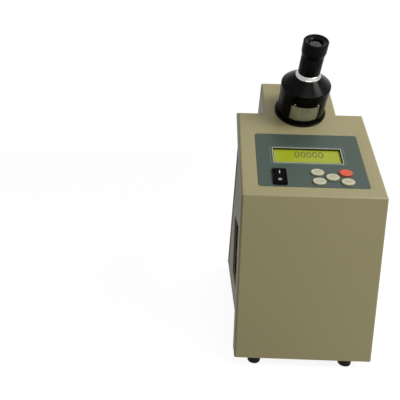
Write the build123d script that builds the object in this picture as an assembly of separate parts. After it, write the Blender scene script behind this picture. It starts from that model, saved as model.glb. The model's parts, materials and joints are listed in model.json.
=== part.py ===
from build123d import *
import math
import os

os.makedirs("parts", exist_ok=True)

# Every size is in millimetres. While modelling, x runs from the left side of the
# front to the right, y runs back from the front face and z up from the housing's
# lower edge. The last lines move the pieces into the shared frame.

# Driving sizes of the housing, read from the photograph
BODY_W = 152.0
BODY_D = 330.0
FRONT_H = 184.2
SLOPE_DEG = 40.0
SHOULDER_S = 131.5
APEX_S = 195.5
TOWER_W = 88.5
SIDE_INSET = 7.5
FLANGE_D = 24.0
WALL = 3.5
EDGE_R = 2.5
BAND_Y = 36.0
COVER_DROP = 5.7
SEAM = 0.3
MID = BODY_W / 2

# Feet
FOOT_H = 13.0
FOOT_X = 52.0
FOOT_FRONT_Y = 16.5
FOOT_REAR_Y = BODY_D - 30.0

# Operating panel, s is the distance up the slope from its lower edge
PANEL_X = 77.0
PANEL_S = 54.0
PANEL_W = 117.5
PANEL_L = 82.0
PANEL_R = 3.5
PANEL_GROOVE = 0.6
PANEL_DEEP = 1.2
PANEL_T = 0.8
LCD_X = 75.65
LCD_S = 60.3
LCD_W = 76.3
LCD_L = 22.6
ROCKER_X = 41.45
ROCKER_S = 26.8
KEY_A = 7.5
KEY_B = 5.0
KEY_CLEAR = 0.3
KEY_TRAVEL = 0.8
KEY_COLLAR = 0.9
KEYS = {
    "key_upper_left": (82.7, 33.9),
    "key_upper_right": (113.3, 34.2),
    "key_centre": (98.1, 27.3),
    "key_lower_left": (83.1, 20.9),
    "key_lower_right": (113.4, 21.1),
}

# Eyepiece and compensator, h is the height over the slope along the eyepiece axis
EYE_S = 138.5
BASE_R = 31.0
BASE_T = 2.5
SPIGOT_R = 21.6
SLEEVE_R = 28.3
SLEEVE_IN = 26.9
SLEEVE_TOP = 29.6
WINDOW_DEG = 76.0
WINDOW_LOW = 4.5
WINDOW_HIGH = 26.0
WHEEL_R = 26.5
HUB_R = 12.0
BEARING_CLEAR = 0.06
GLASS_R = 10.0
TUBE_R = 12.5
TUBE_IN = 10.5
TUBE_TOP = 80.0
CAP_RIM_R = 29.3
CAP_TOP = 50.0
RING_R = 13.9
DIOPTRE_R = 13.3
DIOPTRE_TOP = 94.9

# Crown gears and idlers that turn the two dispersion prisms opposite ways
CROWN_TEETH = 32
IDLER_TEETH = 10
CROWN_R = 14.5
IDLER_R = CROWN_R * IDLER_TEETH / CROWN_TEETH
IDLER_H = -12.5
TOOTH_UP = 0.9
TOOTH_DOWN = 1.15
TOOTH_T = 0.85
IDLER_FACE = 3.0
PIN_R = 1.0

# Scanning mirror, its sector wheel and the handwheel
SCAN_BACK = 22.06
MODULE = 1.25
PINION_TEETH = 12
SECTOR_TEETH = 48
PINION_R = MODULE * PINION_TEETH / 2
SECTOR_R = MODULE * SECTOR_TEETH / 2
SHAFT_R = 2.5
WHEEL_SHAFT_R = 4.0
HANDWHEEL_R = 25.0
RUN = 0.06

# Prism recess in the left side
REC_Y0, REC_Y1 = 62.0, 190.0
REC_Z0, REC_Z1 = 30.0, 120.0
REC_X1 = 66.0
LINER_T = 2.5
SPLIT_Z = 72.0
PRISM_Y0, PRISM_Y1 = 98.0, 152.0
PRISM_X0, PRISM_X1 = 14.0, 45.0
HINGE_X = 47.5
HINGE_R = 4.0
UPPER_H = 16.0
PRISM_MID_Y = (PRISM_Y0 + PRISM_Y1) / 2
BEAM_Z = 58.0

# Connectors on the inclined back, b is the distance up it
INLET_X, INLET_B, FUSE_B = 108.0, 50.0, 85.0
SERIAL_X, SERIAL_B = 48.0, 50.0

LOW = (Align.CENTER, Align.CENTER, Align.MIN)
SIN = math.sin(math.radians(SLOPE_DEG))
COS = math.cos(math.radians(SLOPE_DEG))
TAN = SIN / COS


def slope_point(s, h=0.0):
    """A point of the slope, s up it and h over it."""
    return (s * COS - h * SIN, FRONT_H + s * SIN + h * COS)


SHOULDER = slope_point(SHOULDER_S)
APEX = slope_point(APEX_S)
COVER_TOP = SHOULDER[1] - COVER_DROP
BACK_RUN = BODY_D - APEX[0]
BACK_LEN = math.hypot(BACK_RUN, APEX[1])
BACK_COS = APEX[1] / BACK_LEN
BACK_SIN = BACK_RUN / BACK_LEN


def back_y(z):
    """The inclined back's depth at a height."""
    return BODY_D - z * BACK_RUN / APEX[1]


def slope_frame(x, s, h=0.0):
    """A plane on the slope: x to the right, y up the slope, z out of it."""
    y, z = slope_point(s, h)
    return Plane(origin=(x, y, z), x_dir=(1, 0, 0), z_dir=(0, -SIN, COS))


def back_frame(x, b, h=0.0):
    """A plane on the inclined back, b up it from the bottom, z out of it."""
    y = BODY_D - b * BACK_SIN + h * BACK_COS
    z = b * BACK_COS + h * BACK_SIN
    return Plane(origin=(x, y, z), x_dir=(-1, 0, 0), z_dir=(0, BACK_COS, BACK_SIN))


def cross_frame(x, y, z):
    """A plane whose axis runs to the right, for the cross shafts."""
    return Plane(origin=(x, y, z), x_dir=(0, 1, 0), z_dir=(1, 0, 0))


def block(x0, x1, y0, y1, z0, z1):
    """A box between two corners."""
    middle = Pos((x0 + x1) / 2, (y0 + y1) / 2, (z0 + z1) / 2)
    return middle * Box(x1 - x0, y1 - y0, z1 - z0)


def rod(radius, low, high):
    """A cylinder on the local axis between two heights."""
    return Pos(0, 0, low) * Cylinder(radius, high - low, align=LOW)


def tube(outer, inner, low, high):
    """A tube on the local axis between two heights."""
    return rod(outer, low, high) - rod(inner, low - 1, high + 1)


def turned(points):
    """A turned piece from its half section, given as radius and height."""
    outline = Polyline(*[(r, 0, h) for r, h in points], close=True)
    return revolve(make_face(outline), Axis.Z, 360)


def prism(points, x0, x1):
    """A side outline, given as y and z, carried across the width."""
    outline = Polyline(*[(x0, y, z) for y, z in points], close=True)
    return extrude(make_face(outline), amount=x1 - x0, dir=(1, 0, 0))


def slab(width, length, thick, radius):
    """A plate with round corners, standing on the local plane."""
    return extrude(RectangleRounded(width, length, radius), amount=thick)


def group(pieces):
    """Several like pieces as one node."""
    solids = []
    for piece in pieces:
        solids.extend(piece.solids())
    return Compound(solids)


def screw(head_r, head_h, shank_r, shank_l):
    """A socket screw: the head stands on the local plane, the shank goes down."""
    body = rod(head_r, 0, head_h) + rod(shank_r, -shank_l, 0.1)
    socket = extrude(RegularPolygon(head_r * 0.5, 6), amount=head_h)
    return body - Pos(0, 0, head_h * 0.45) * socket


def slope_line(depth, z=None, y=None):
    """A point on the line that lies so deep under the slope."""
    if z is not None:
        return ((z - FRONT_H + depth / COS) / TAN, z)
    return (y, FRONT_H - depth / COS + y * TAN)


def star(outer, inner, count):
    """The zigzag outline of a knurled rim."""
    points = []
    for i in range(count * 2):
        r = outer if i % 2 == 0 else inner
        a = math.pi * i / count
        points.append((r * math.cos(a), r * math.sin(a)))
    return make_face(Polyline(*points, close=True))


def gear_face(pitch_r, teeth, thick, up, down, first=0.0, keep=None):
    """A spur gear's outline with slim tapered teeth on a root circle."""
    root = pitch_r - down
    points = []
    for i in range(keep or teeth):
        a = first + 2 * math.pi * i / teeth
        half_root = (thick * 0.72) / root
        half_tip = (thick * 0.30) / (pitch_r + up)
        for r, d in ((root, -half_root), (pitch_r + up, -half_tip)):
            points.append((r * math.cos(a + d), r * math.sin(a + d)))
        for r, d in ((pitch_r + up, half_tip), (root, half_root)):
            points.append((r * math.cos(a + d), r * math.sin(a + d)))
    return points


def optical(t):
    """A point of the eyepiece axis, t down from the slope."""
    return slope_point(EYE_S, -t)


def to_back(y, z):
    """How far a point lies in front of the inclined back."""
    return BACK_COS * (BODY_D - y) - BACK_SIN * z


# The scanning mirror sits where the eyepiece axis comes this close to the back
SCAN_T = (to_back(*optical(0)) - SCAN_BACK) / (to_back(*optical(0)) - to_back(*optical(1)))
SCAN_Y, SCAN_Z = optical(SCAN_T)
GEAR_DIST = PINION_R + SECTOR_R
KNOB_DEG = 35.0
KNOB_Y = SCAN_Y - GEAR_DIST * math.cos(math.radians(KNOB_DEG))
KNOB_Z = SCAN_Z - GEAR_DIST * math.sin(math.radians(KNOB_DEG))
BASE_SCREWS = [(x, y) for x in (15.4, BODY_W - 15.4) for y in (40.0, BODY_D - 125.0, BODY_D - 80.0)]
COVER_SCREWS = [(x, b) for x in (15.0, BODY_W - 15.0) for b in (45.0, BACK_LEN - 88.5)]
BOARD_SCREWS = [(64.0, 16.0), (130.0, 16.0), (64.0, 40.5), (130.0, 40.5)]
LCD_SCREWS = [(-46.0, 0.0), (46.0, 0.0)]


def housing():
    """The moulded beige housing: front flange, inset sides, shoulders and tower."""
    flange = prism(
        [
            (0, 0),
            (0, FRONT_H),
            SHOULDER,
            slope_line(FLANGE_D, z=SHOULDER[1]),
            slope_line(FLANGE_D, y=FLANGE_D),
            (FLANGE_D, 0),
        ],
        0,
        BODY_W,
    )
    corners = []
    for edge in flange.edges():
        c = edge.center()
        over = c.Z - FRONT_H - c.Y * TAN
        on_front = abs(c.Y) < 0.1
        on_slope = abs(over) < 0.1
        at_side = c.X < 0.1 or c.X > BODY_W - 0.1
        across = abs(c.X - MID) < 0.1
        if at_side and (on_front or on_slope):
            corners.append(edge)
        if across and (abs(c.Z - FRONT_H) < 0.1 or abs(c.Z - SHOULDER[1]) < 0.1):
            if on_front or on_slope:
                corners.append(edge)
    flange = fillet(corners, EDGE_R)
    rear_low = (back_y(0) - BAND_Y, 0)
    rear_high = (back_y(COVER_TOP) - BAND_Y, COVER_TOP)
    core = prism(
        [
            (10, 0),
            slope_line(10, y=10),
            slope_line(10, z=SHOULDER[1]),
            (back_y(SHOULDER[1]), SHOULDER[1]),
            (back_y(COVER_TOP), COVER_TOP),
            rear_high,
            rear_low,
        ],
        SIDE_INSET,
        BODY_W - SIDE_INSET,
    )
    tower = prism(
        [
            slope_point(SHOULDER_S - 14),
            APEX,
            (back_y(SHOULDER[1] - 3), SHOULDER[1] - 3),
            (SHOULDER[0] + 20, SHOULDER[1] - 3),
        ],
        MID - TOWER_W / 2,
        MID + TOWER_W / 2,
    )
    ridges = []
    for edge in tower.edges():
        c = edge.center()
        over = c.Z - FRONT_H - c.Y * TAN
        side = abs(abs(c.X - MID) - TOWER_W / 2) < 0.1
        if side and abs(over) < 0.1:
            ridges.append(edge)
        if side and abs(c.Y - back_y(c.Z)) < 0.1:
            ridges.append(edge)
        if abs(c.X - MID) < 0.1 and abs(c.Z - APEX[1]) < 0.1:
            ridges.append(edge)
    tower = fillet(ridges, EDGE_R)
    shell = flange + core + tower
    inner_front = prism(
        [
            (WALL, -1),
            slope_line(WALL, y=WALL),
            slope_line(WALL, z=COVER_TOP),
            slope_line(FLANGE_D - WALL, z=COVER_TOP),
            slope_line(FLANGE_D - WALL, y=FLANGE_D - WALL),
            (FLANGE_D - WALL, -1),
        ],
        WALL,
        BODY_W - WALL,
    )
    inner_body = prism(
        [
            (WALL, -1),
            slope_line(WALL, y=WALL),
            slope_line(WALL, z=COVER_TOP),
            (BODY_D, COVER_TOP),
            (BODY_D, -1),
        ],
        SIDE_INSET + WALL,
        BODY_W - SIDE_INSET - WALL,
    )
    apex_in = (APEX[0], APEX[1] - WALL * 1.55)
    inner_tower = prism(
        [
            slope_line(WALL, z=COVER_TOP - 1),
            apex_in,
            (back_y(COVER_TOP - 1) - WALL * 1.2, COVER_TOP - 1),
        ],
        MID - TOWER_W / 2 + WALL,
        MID + TOWER_W / 2 - WALL,
    )
    shell = shell - inner_front - inner_body - inner_tower
    for x, y in BASE_SCREWS:
        wall_x = SIDE_INSET + 1 if x < MID else BODY_W - SIDE_INSET - 1
        web = block(min(x, wall_x), max(x, wall_x), y - 4, y + 4, 3.2, 18)
        shell = shell + web + Pos(x, y, 3.2) * Cylinder(4.0, 14.8, align=LOW)
        shell = shell - Pos(x, y, 2) * Cylinder(1.6, 12, align=LOW)
    for x, b in COVER_SCREWS:
        wall_x = SIDE_INSET + 1 if x < MID else BODY_W - SIDE_INSET - 1
        frame = back_frame(x, b, -3.2)
        post = frame * rod(3.5, -52, 0)
        web = back_frame((x + wall_x) / 2, b) * Pos(0, 0, -45) * Box(
            abs(x - wall_x), 5, 20
        )
        shell = shell + post + web - frame * rod(1.6, -14, 1)
    for x, s in BOARD_SCREWS:
        frame = slope_frame(x, s, -WALL)
        shell = shell + frame * rod(3.0, -7, 0.5) - frame * rod(1.3, -8, -1)
    for dx, ds in LCD_SCREWS:
        frame = slope_frame(LCD_X + dx, LCD_S + ds, -WALL)
        shell = shell + frame * rod(3.0, -4.5, 0.5) - frame * rod(1.3, -5, -1)
    panel = slope_frame(PANEL_X, PANEL_S, -PANEL_DEEP) * slab(
        PANEL_W + 2 * PANEL_GROOVE, PANEL_L + 2 * PANEL_GROOVE, 4, PANEL_R
    )
    lcd = slope_frame(LCD_X, LCD_S) * Box(LCD_W, LCD_L, 12)
    rocker = slope_frame(ROCKER_X, ROCKER_S) * Box(13.8, 20.8, 12)
    shell = shell - panel - lcd - rocker
    for x, s in KEYS.values():
        hole = extrude(Ellipse(KEY_A + KEY_CLEAR, KEY_B + KEY_CLEAR), amount=12)
        shell = shell - slope_frame(x, s, -8) * hole
    shell = shell - slope_frame(MID, EYE_S) * rod(SPIGOT_R + 0.2, -12, 4)
    for a in (45, 135, 225, 315):
        shell = shell - slope_frame(MID, EYE_S) * Rot(0, 0, a) * Pos(25.5, 0, 0) * rod(
            1.3, -6, 2
        )
    opening = block(-1, SIDE_INSET + WALL + 1, REC_Y0, REC_Y1, REC_Z0, REC_Z1)
    opening = fillet(opening.edges().filter_by(Axis.X), 6)
    shell = shell - opening
    shell = shell - cross_frame(BODY_W - 20, KNOB_Y, KNOB_Z) * rod(7.0, 0, 30)
    return shell


def rear_cover():
    """The black rear cover with its side returns, cut-outs and vents."""
    outer = prism(
        [
            (back_y(COVER_TOP) - BAND_Y + SEAM, COVER_TOP - SEAM),
            (back_y(COVER_TOP), COVER_TOP - SEAM),
            (BODY_D, 0),
            (BODY_D - BAND_Y + SEAM, 0),
        ],
        SIDE_INSET,
        BODY_W - SIDE_INSET,
    )
    edges = []
    for edge in outer.edges():
        c = edge.center()
        side = c.X < SIDE_INSET + 0.1 or c.X > BODY_W - SIDE_INSET - 0.1
        if side and abs(c.Y - back_y(c.Z)) < 0.5 and 50 < c.Z < 200:
            edges.append(edge)
    outer = fillet(edges, EDGE_R)
    thick_y = 3.0 / BACK_COS
    inner = prism(
        [
            (back_y(COVER_TOP) - BAND_Y - 20, COVER_TOP - 3.3),
            (back_y(COVER_TOP - 3.3) - thick_y, COVER_TOP - 3.3),
            (back_y(-1) - thick_y, -1),
            (BODY_D - BAND_Y - 5, -1),
        ],
        SIDE_INSET + 3,
        BODY_W - SIDE_INSET - 3,
    )
    cover = outer - inner
    cover = cover - slope_frame(MID, EYE_S) * rod(SPIGOT_R + 1.2, -62, 0)
    cover = cover - back_frame(INLET_X, INLET_B) * Box(27.2, 20.2, 12)
    cover = cover - back_frame(SERIAL_X, SERIAL_B) * Box(19.0, 10.0, 12)
    cover = cover - back_frame(INLET_X, FUSE_B) * rod(6.1, -6, 6)
    for i in range(9):
        slot = extrude(SlotOverall(70, 3.2), amount=12)
        cover = cover - back_frame(MID, 168 + 9 * i, -6) * slot
    for x, b in COVER_SCREWS:
        cover = cover - back_frame(x, b) * rod(1.8, -6, 6)
        cover = cover - back_frame(x, b) * rod(3.4, -1.6, 2)
    for dx in (-20, 20):
        cover = cover - back_frame(INLET_X + dx, INLET_B) * rod(1.6, -6, 6)
    for dx in (-12.5, 12.5):
        cover = cover - back_frame(SERIAL_X + dx, SERIAL_B) * rod(1.6, -6, 6)
    return cover


nodes = {}
nodes["housing"] = housing()
nodes["rear_cover"] = rear_cover()


def base_plate():
    """The flat steel base with holes for the feet, the screws and air slots."""
    plate = block(11.3, BODY_W - 11.3, WALL + 0.4, BODY_D - 6.5, 0, 3)
    for x in (MID - FOOT_X, MID + FOOT_X):
        for y in (FOOT_FRONT_Y, FOOT_REAR_Y):
            plate = plate - Pos(x, y, -1) * Cylinder(2.2, 6, align=LOW)
    for x, y in BASE_SCREWS:
        plate = plate - Pos(x, y, -1) * Cylinder(1.8, 6, align=LOW)
        plate = plate - Pos(x, y, -1) * Cylinder(3.6, 2.6, align=LOW)
    for i in range(6):
        slot = extrude(SlotOverall(50, 4), amount=6)
        plate = plate - Pos(MID, BODY_D - 68 + 9 * i, -1) * slot
    return plate


nodes["base_plate"] = base_plate()

foot_profile = [
    (2.2, 0),
    (8.8, 0),
    (8.8, -1.2),
    (7.1, -FOOT_H + 1.0),
    (6.3, -FOOT_H),
    (4.4, -FOOT_H),
    (4.4, -7),
    (2.2, -7),
]
foot_places = {
    "foot_front_left": (MID - FOOT_X, FOOT_FRONT_Y),
    "foot_front_right": (MID + FOOT_X, FOOT_FRONT_Y),
    "foot_rear_left": (MID - FOOT_X, FOOT_REAR_Y),
    "foot_rear_right": (MID + FOOT_X, FOOT_REAR_Y),
}
foot_screws = []
foot_nuts = []
for name, (x, y) in foot_places.items():
    nodes[name] = Pos(x, y, 0) * turned(foot_profile)
    foot_screws.append(Pos(x, y, -7) * Rot(180, 0, 0) * screw(3.8, 3, 2.0, 14.5))
    nut = extrude(RegularPolygon(4.0, 6), amount=3.2) - rod(2.05, -1, 5)
    foot_nuts.append(Pos(x, y, 3) * nut)
nodes["foot_screws"] = group(foot_screws)
nodes["foot_nuts"] = group(foot_nuts)
nodes["base_screws"] = group(
    [Pos(x, y, 1.6) * Rot(180, 0, 0) * screw(3.2, 1.5, 1.5, 12) for x, y in BASE_SCREWS]
)
nodes["rear_cover_screws"] = group(
    [back_frame(x, b, -1.6) * screw(3.0, 2.0, 1.5, 14) for x, b in COVER_SCREWS]
)


def overlay():
    """The panel overlay with its window, switch and key openings."""
    sheet = slope_frame(PANEL_X, PANEL_S, -PANEL_DEEP) * slab(
        PANEL_W, PANEL_L, PANEL_T, PANEL_R - PANEL_GROOVE
    )
    sheet = sheet - slope_frame(LCD_X, LCD_S) * Box(LCD_W, LCD_L, 12)
    sheet = sheet - slope_frame(ROCKER_X, ROCKER_S) * Box(13.8, 20.8, 12)
    for x, s in KEYS.values():
        hole = extrude(Ellipse(KEY_A + KEY_CLEAR, KEY_B + KEY_CLEAR), amount=12)
        sheet = sheet - slope_frame(x, s, -8) * hole
    return sheet


nodes["panel_overlay"] = overlay()

# Display: a glass in the window and a module behind it on two bosses
lcd_glass = slope_frame(LCD_X, LCD_S, -4.2) * Pos(0, 0, 0.8) * Box(
    LCD_W - 0.6, LCD_L - 0.6, 1.6
)
nodes["display_glass"] = lcd_glass
lcd_case = slope_frame(LCD_X, LCD_S, -8.0) * Pos(0, 0, 1.9) * Box(84, 30, 3.8)
lcd_ears = slope_frame(LCD_X, LCD_S, -9.6) * Pos(0, 0, 0.8) * Box(100, 32, 1.6)
lcd_module = lcd_case + lcd_ears
for dx, ds in LCD_SCREWS:
    lcd_module = lcd_module - slope_frame(LCD_X + dx, LCD_S + ds) * rod(1.6, -12, 0)
nodes["display_module"] = lcd_module
nodes["display_screws"] = group(
    [
        slope_frame(LCD_X + dx, LCD_S + ds, -9.6) * Rot(180, 0, 0) * screw(2.4, 1.6, 1.2, 4)
        for dx, ds in LCD_SCREWS
    ]
)

# Keys: oval caps held from behind by a collar, each over its own switch
key_switches = []
for name, (x, s) in KEYS.items():
    cap = extrude(Ellipse(KEY_A, KEY_B), amount=5.3)
    cap = fillet(cap.faces().sort_by(Axis.Z)[-1].edges(), 1.2)
    collar = extrude(Ellipse(KEY_A + KEY_COLLAR, KEY_B + KEY_COLLAR), amount=0.9)
    stem = Pos(0, 0, -0.6) * Cylinder(1.8, 0.7, align=LOW)
    nodes[name] = slope_frame(x, s, -4.5) * (Pos(0, 0, 0.9) * cap + collar + stem)
    body = Pos(0, 0, 1.75) * Box(6, 6, 3.5) + rod(1.7, 3.4, 4.2)
    key_switches.append(slope_frame(x, s, -10.5) * body)
nodes["key_switches"] = group(key_switches)
board = slope_frame(97.0, 28.5, -12.1) * Pos(0, 0, 0.8) * Box(76, 32, 1.6)
for x, s in BOARD_SCREWS:
    board = board - slope_frame(x, s) * rod(1.6, -14, 0)
nodes["keypad_board"] = board
nodes["keypad_screws"] = group(
    [
        slope_frame(x, s, -12.1) * Rot(180, 0, 0) * screw(2.4, 1.6, 1.2, 6)
        for x, s in BOARD_SCREWS
    ]
)

# Rocker switch: bezel with its body, and a rocker that tips about a cross pin
ROCKER_H = -1.2
bezel = slope_frame(ROCKER_X, ROCKER_S, PANEL_T - PANEL_DEEP) * slab(15.5, 22.8, 1.8, 1.5)
bezel_body = slope_frame(ROCKER_X, ROCKER_S, -20) * Pos(0, 0, 10) * Box(13.4, 20.4, 20)
bezel = bezel + bezel_body
bezel = bezel - slope_frame(ROCKER_X, ROCKER_S, -11.5) * Pos(0, 0, 10) * Box(11.4, 18.8, 20)
for dx in (-4, 0, 4):
    bezel = bezel + slope_frame(ROCKER_X + dx, ROCKER_S, -26) * Pos(0, 0, 3.2) * Box(
        0.8, 6.3, 6.6
    )
bezel = bezel - slope_frame(ROCKER_X, ROCKER_S, ROCKER_H) * Rot(0, 90, 0) * rod(
    1.0, -6.4, 6.4
)
nodes["switch_bezel"] = bezel
ROCK = math.radians(9)
top = 2.9
edge_y = 8.6
rocker_points = [
    (-edge_y, -2.2),
    (-edge_y, top + edge_y * math.tan(ROCK) * 0.55),
    (0, top - 0.6),
    (edge_y, top + edge_y * math.tan(ROCK) * 0.55),
    (edge_y, -2.2),
    (4.5, -6.0),
    (-4.5, -6.0),
]
rocker_outline = make_face(Polyline(*[(0, y, h) for y, h in rocker_points], close=True))
rocker = extrude(rocker_outline, amount=5.4, dir=(1, 0, 0), both=True)
rocker = rocker + Rot(0, 90, 0) * rod(0.94, -6.3, 6.3)
nodes["switch_rocker"] = slope_frame(ROCKER_X, ROCKER_S, ROCKER_H) * Rot(9, 0, 0) * rocker

# Recess liner, a black tub behind the opening in the left side
liner = block(
    SIDE_INSET + WALL + 0.1,
    REC_X1 + LINER_T,
    REC_Y0 - LINER_T,
    REC_Y1 + LINER_T,
    REC_Z0 - LINER_T,
    REC_Z1 + LINER_T,
)
liner_in = block(SIDE_INSET, REC_X1, REC_Y0, REC_Y1, REC_Z0, REC_Z1)
liner = liner - fillet(liner_in.edges().filter_by(Axis.X), 6)
PORT_R = 8.0
PORT = cross_frame(REC_X1 - 2, PRISM_MID_Y, BEAM_Z)
liner = liner - PORT * rod(PORT_R, 0, 8)
PEDESTAL_SCREWS = [(x, y) for x in (24.0, 38.0) for y in (108.0, 142.0)]
for x, y in PEDESTAL_SCREWS:
    liner = liner - Pos(x, y, REC_Z0 - 5) * Cylinder(1.8, 8, align=LOW)
for y in (80.0, 172.0):
    liner = liner - cross_frame(REC_X1 - 2, y, 45) * rod(1.8, 0, 8)
nodes["recess_liner"] = liner

# Two angle feet carry the liner from the base plate
LEG_Y = (80.0, 172.0)
legs = block(REC_X1 + LINER_T, REC_X1 + LINER_T + 3, 74, 178, 3, 52)
legs = legs + block(REC_X1 - 14, REC_X1 + LINER_T + 3, 74, 178, 3, 6)
legs = legs - block(REC_X1, REC_X1 + LINER_T + 5, 90, 162, 14, 60)
for y in LEG_Y:
    legs = legs - cross_frame(REC_X1, y, 45) * rod(1.6, 0, 8)
nodes["liner_bracket"] = legs
nodes["liner_screws"] = group(
    [
        cross_frame(REC_X1, y, 45) * Rot(0, 180, 0) * screw(2.8, 1.8, 1.5, 5.5)
        for y in LEG_Y
    ]
)

# Prism assembly: pedestal, lower jacket with the measuring prism, hinged upper jacket
pedestal = block(20, 42, 103, 147, REC_Z0, 36) + block(23, 39, 112, 138, 36, 44)
for x, y in PEDESTAL_SCREWS:
    pedestal = pedestal - Pos(x, y, 20) * Cylinder(1.6, 14, align=LOW)
nodes["prism_pedestal"] = pedestal
nodes["pedestal_screws"] = group(
    [
        Pos(x, y, REC_Z0 - LINER_T) * Rot(180, 0, 0) * screw(2.8, 1.8, 1.5, 6)
        for x, y in PEDESTAL_SCREWS
    ]
)
GLASS_Y0, GLASS_Y1 = 108.0, 142.0
GLASS_X0, GLASS_X1 = 19.0, 40.0
lower = block(PRISM_X0, PRISM_X1, PRISM_Y0, PRISM_Y1, 44, SPLIT_Z - 0.2)
lower = chamfer(lower.edges().filter_by(Axis.Z), 2)
pocket = prism(
    [(GLASS_Y0, SPLIT_Z + 2), (GLASS_Y1, SPLIT_Z + 2), (GLASS_Y1, 50), (GLASS_Y0, 50)],
    GLASS_X0,
    GLASS_X1,
)
lower = lower - pocket
lower = lower - cross_frame(GLASS_X1 - 2, PRISM_MID_Y, BEAM_Z) * rod(6.5, 0, 10)
lamp_hole = Plane(origin=(30, PRISM_Y0 - 1, 58), x_dir=(1, 0, 0), z_dir=(0, 1, 0))
lower = lower - lamp_hole * rod(5.0, 0, GLASS_Y0 - PRISM_Y0 + 2)
KNUCKLES = [(PRISM_Y0 + 2, PRISM_Y0 + 14), (PRISM_Y1 - 14, PRISM_Y1 - 2)]
knuckle_frame = Plane(origin=(HINGE_X, 0, SPLIT_Z), x_dir=(1, 0, 0), z_dir=(0, 1, 0))
lower = lower - knuckle_frame * rod(HINGE_R + 0.5, PRISM_Y0 - 1, PRISM_Y1 + 1)
for y0, y1 in KNUCKLES:
    lower = lower + block(HINGE_X - 8, HINGE_X + 3.4, y0, y1, SPLIT_Z - 12, SPLIT_Z - 1.5)
    lower = lower + knuckle_frame * rod(HINGE_R, y0, y1)
lower = lower - pocket - knuckle_frame * rod(2.0, PRISM_Y0, PRISM_Y1)
NIPPLE_R = 3.0
NIPPLES_LOW = [(21.0, 52.0), (38.0, 52.0)]
for x, z in NIPPLES_LOW:
    hole = Plane(origin=(x, PRISM_Y1 - 6, z), x_dir=(1, 0, 0), z_dir=(0, 1, 0))
    lower = lower - hole * rod(NIPPLE_R, 0, 10)
SENSOR_X, SENSOR_Z = 29.5, 62.0
hole = Plane(origin=(SENSOR_X, PRISM_Y1 - 6, SENSOR_Z), x_dir=(1, 0, 0), z_dir=(0, 1, 0))
lower = lower - hole * rod(2.5, 0, 10)
nodes["lower_prism_jacket"] = lower
measuring = prism(
    [
        (GLASS_Y0, SPLIT_Z - 0.2),
        (GLASS_Y1, SPLIT_Z - 0.2),
        (GLASS_Y1, 50),
        (GLASS_Y0, 50),
    ],
    GLASS_X0,
    GLASS_X1,
)
cut = Plane(origin=(GLASS_X0, PRISM_MID_Y, 50), x_dir=(0, 1, 0), z_dir=(1, 0, 0.9))
measuring = measuring - cut * Pos(0, 0, -20) * Box(60, 90, 40)
nodes["measuring_prism"] = measuring

upper = block(
    PRISM_X0, PRISM_X1, PRISM_Y0, PRISM_Y1, SPLIT_Z + 0.2, SPLIT_Z + UPPER_H
)
upper = chamfer(upper.faces().sort_by(Axis.Z)[-1].edges(), 2)
upper = upper - block(GLASS_X0, GLASS_X1, GLASS_Y0, GLASS_Y1, SPLIT_Z - 1, SPLIT_Z + 10)
window = Plane(origin=(30, PRISM_Y0 - 1, SPLIT_Z + 8), x_dir=(1, 0, 0), z_dir=(0, 1, 0))
upper = upper - window * rod(4.5, 0, GLASS_Y0 - PRISM_Y0 + 2)
upper = upper - knuckle_frame * rod(HINGE_R + 0.5, PRISM_Y0 - 1, PRISM_Y1 + 1)
mid0, mid1 = KNUCKLES[0][1] + 0.4, KNUCKLES[1][0] - 0.4
upper = upper + block(
    HINGE_X - 8, HINGE_X + 2.5, mid0, mid1, SPLIT_Z + 1.6, SPLIT_Z + 12
)
upper = upper + knuckle_frame * rod(HINGE_R, mid0, mid1)
upper = upper - block(GLASS_X0, GLASS_X1, GLASS_Y0, GLASS_Y1, SPLIT_Z - 1, SPLIT_Z + 10)
upper = upper - knuckle_frame * rod(2.0 + RUN, PRISM_Y0, PRISM_Y1)
NIPPLES_UP = [(21.0, 80.0), (37.0, 80.0)]
for x, z in NIPPLES_UP:
    hole = Plane(origin=(x, PRISM_Y1 - 6, z), x_dir=(1, 0, 0), z_dir=(0, 1, 0))
    upper = upper - hole * rod(NIPPLE_R, 0, 10)
KNOB_AXIS_Z = SPLIT_Z + 8
knob_hole = Plane(
    origin=(PRISM_X0 - 1, PRISM_MID_Y, KNOB_AXIS_Z), x_dir=(0, 1, 0), z_dir=(1, 0, 0)
)
upper = upper - knob_hole * rod(2.0 + RUN, 0, 4.5)
nodes["upper_prism_jacket"] = upper
lighting = block(GLASS_X0, GLASS_X1, GLASS_Y0, GLASS_Y1, SPLIT_Z + 0.4, SPLIT_Z + 10)
cut = Plane(origin=(GLASS_X0, PRISM_MID_Y, SPLIT_Z + 10), x_dir=(0, 1, 0), z_dir=(1, 0, -0.5))
lighting = lighting - cut * Pos(0, 0, -20) * Box(60, 90, 40)
nodes["illuminating_prism"] = lighting
nodes["hinge_pin"] = knuckle_frame * rod(2.0, PRISM_Y0 + 1, PRISM_Y1 - 1)

# Locking knob on the upper jacket with a hook that turns under the lower one
knob = star(7.0, 6.6, 24)
knob = Plane(origin=(8.2, PRISM_MID_Y, KNOB_AXIS_Z), x_dir=(0, 1, 0), z_dir=(1, 0, 0)) * (
    extrude(knob, amount=3.4) + rod(2.0, 3, 9.0)
)
hook = block(12.0, 13.7, PRISM_MID_Y - 2.2, PRISM_MID_Y + 2.2, SPLIT_Z - 7, KNOB_AXIS_Z)
hook = hook + Plane(
    origin=(12.0, PRISM_MID_Y, KNOB_AXIS_Z), x_dir=(0, 1, 0), z_dir=(1, 0, 0)
) * rod(3.4, -0.6, 1.7)
nodes["locking_knob"] = knob + hook


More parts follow.
